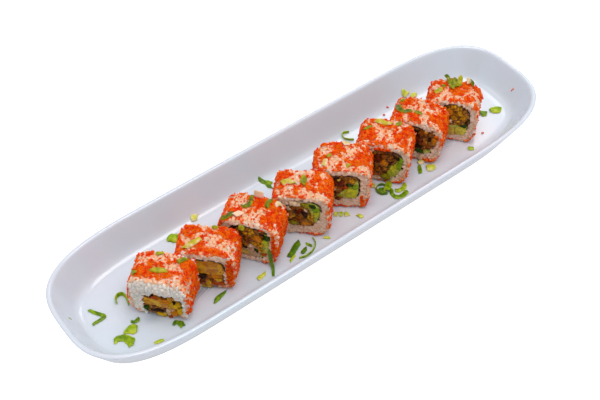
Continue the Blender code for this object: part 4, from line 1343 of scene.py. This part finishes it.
# the floor glows more to the camera than it lights the plate
studio = dict(floor=(0.44, 0.45, 0.48, 1), floorSize=6.0, seenGlow=1.0, glow=0.42,
              world=(0.95, 0.96, 1.0, 1), worldStrength=0.62)
lamps = {  # place in metres, size, strength in watts and colour
    "backRight": ((0.85, 0.6, 1.25), 0.5, 2.4, (1.0, 0.98, 0.95)),
    "backLeft": ((-0.65, 0.75, 1.25), 0.5, 0.85, (0.95, 0.98, 1.0)),
    "above": ((0.05, -0.22, 1.4), 0.9, 10.9, (1.0, 0.99, 0.985)),
}


def addSetting():
    bm = bmesh.new()
    bmesh.ops.create_grid(bm, x_segments=1, y_segments=1, size=studio["floorSize"])
    mesh = bpy.data.meshes.new("floor")
    bm.to_mesh(mesh)
    bm.free()
    floor = bpy.data.objects.new("floor", mesh)
    bpy.context.scene.collection.objects.link(floor)
    paint, tree, shader = newFinish("floorPaint", {
        "Base Color": studio["floor"], "Roughness": 0.9, "Emission Color": (1, 1, 1, 1)})
    rays = addNode(tree, "ShaderNodeLightPath")
    glow = addNode(tree, "ShaderNodeMapRange", {
        "Value": rays.outputs["Is Camera Ray"], "To Min": studio["glow"], "To Max": studio["seenGlow"]})
    tree.links.new(glow.outputs["Result"], shader.inputs["Emission Strength"])
    mesh.materials.append(paint)
    world = bpy.data.worlds.new("studio")
    world.use_nodes = True
    background = world.node_tree.nodes["Background"]
    background.inputs["Color"].default_value = studio["world"]
    background.inputs["Strength"].default_value = studio["worldStrength"]
    bpy.context.scene.world = world
    for name, (place, size, strength, colour) in lamps.items():
        data = bpy.data.lights.new(name, "AREA")
        data.size = size
        data.energy = strength
        data.color = colour
        lamp = bpy.data.objects.new(name, data)
        lamp.location = place
        lamp.rotation_euler = (-Vector(place)).to_track_quat("-Z", "Y").to_euler()
        bpy.context.scene.collection.objects.link(lamp)


def addCamera():
    azimuth, elevation = math.radians(view["azimuth"]), math.radians(view["elevation"])
    back = Vector((math.sin(azimuth) * math.cos(elevation), -math.cos(azimuth) * math.cos(elevation),
                   math.sin(elevation)))
    data = bpy.data.cameras.new("camera")
    data.lens = view["lens"]
    data.sensor_width = 36.0
    data.clip_start = 0.05
    camera = bpy.data.objects.new("camera", data)
    camera.location = Vector(view["target"]) + back * view["distance"]
    camera.rotation_euler = (-back).to_track_quat("-Z", "Y").to_euler()
    bpy.context.scene.collection.objects.link(camera)
    bpy.context.scene.camera = camera


addSetting()
addCamera()
bpy.context.scene.view_settings.view_transform = "Standard"
print("setting made")
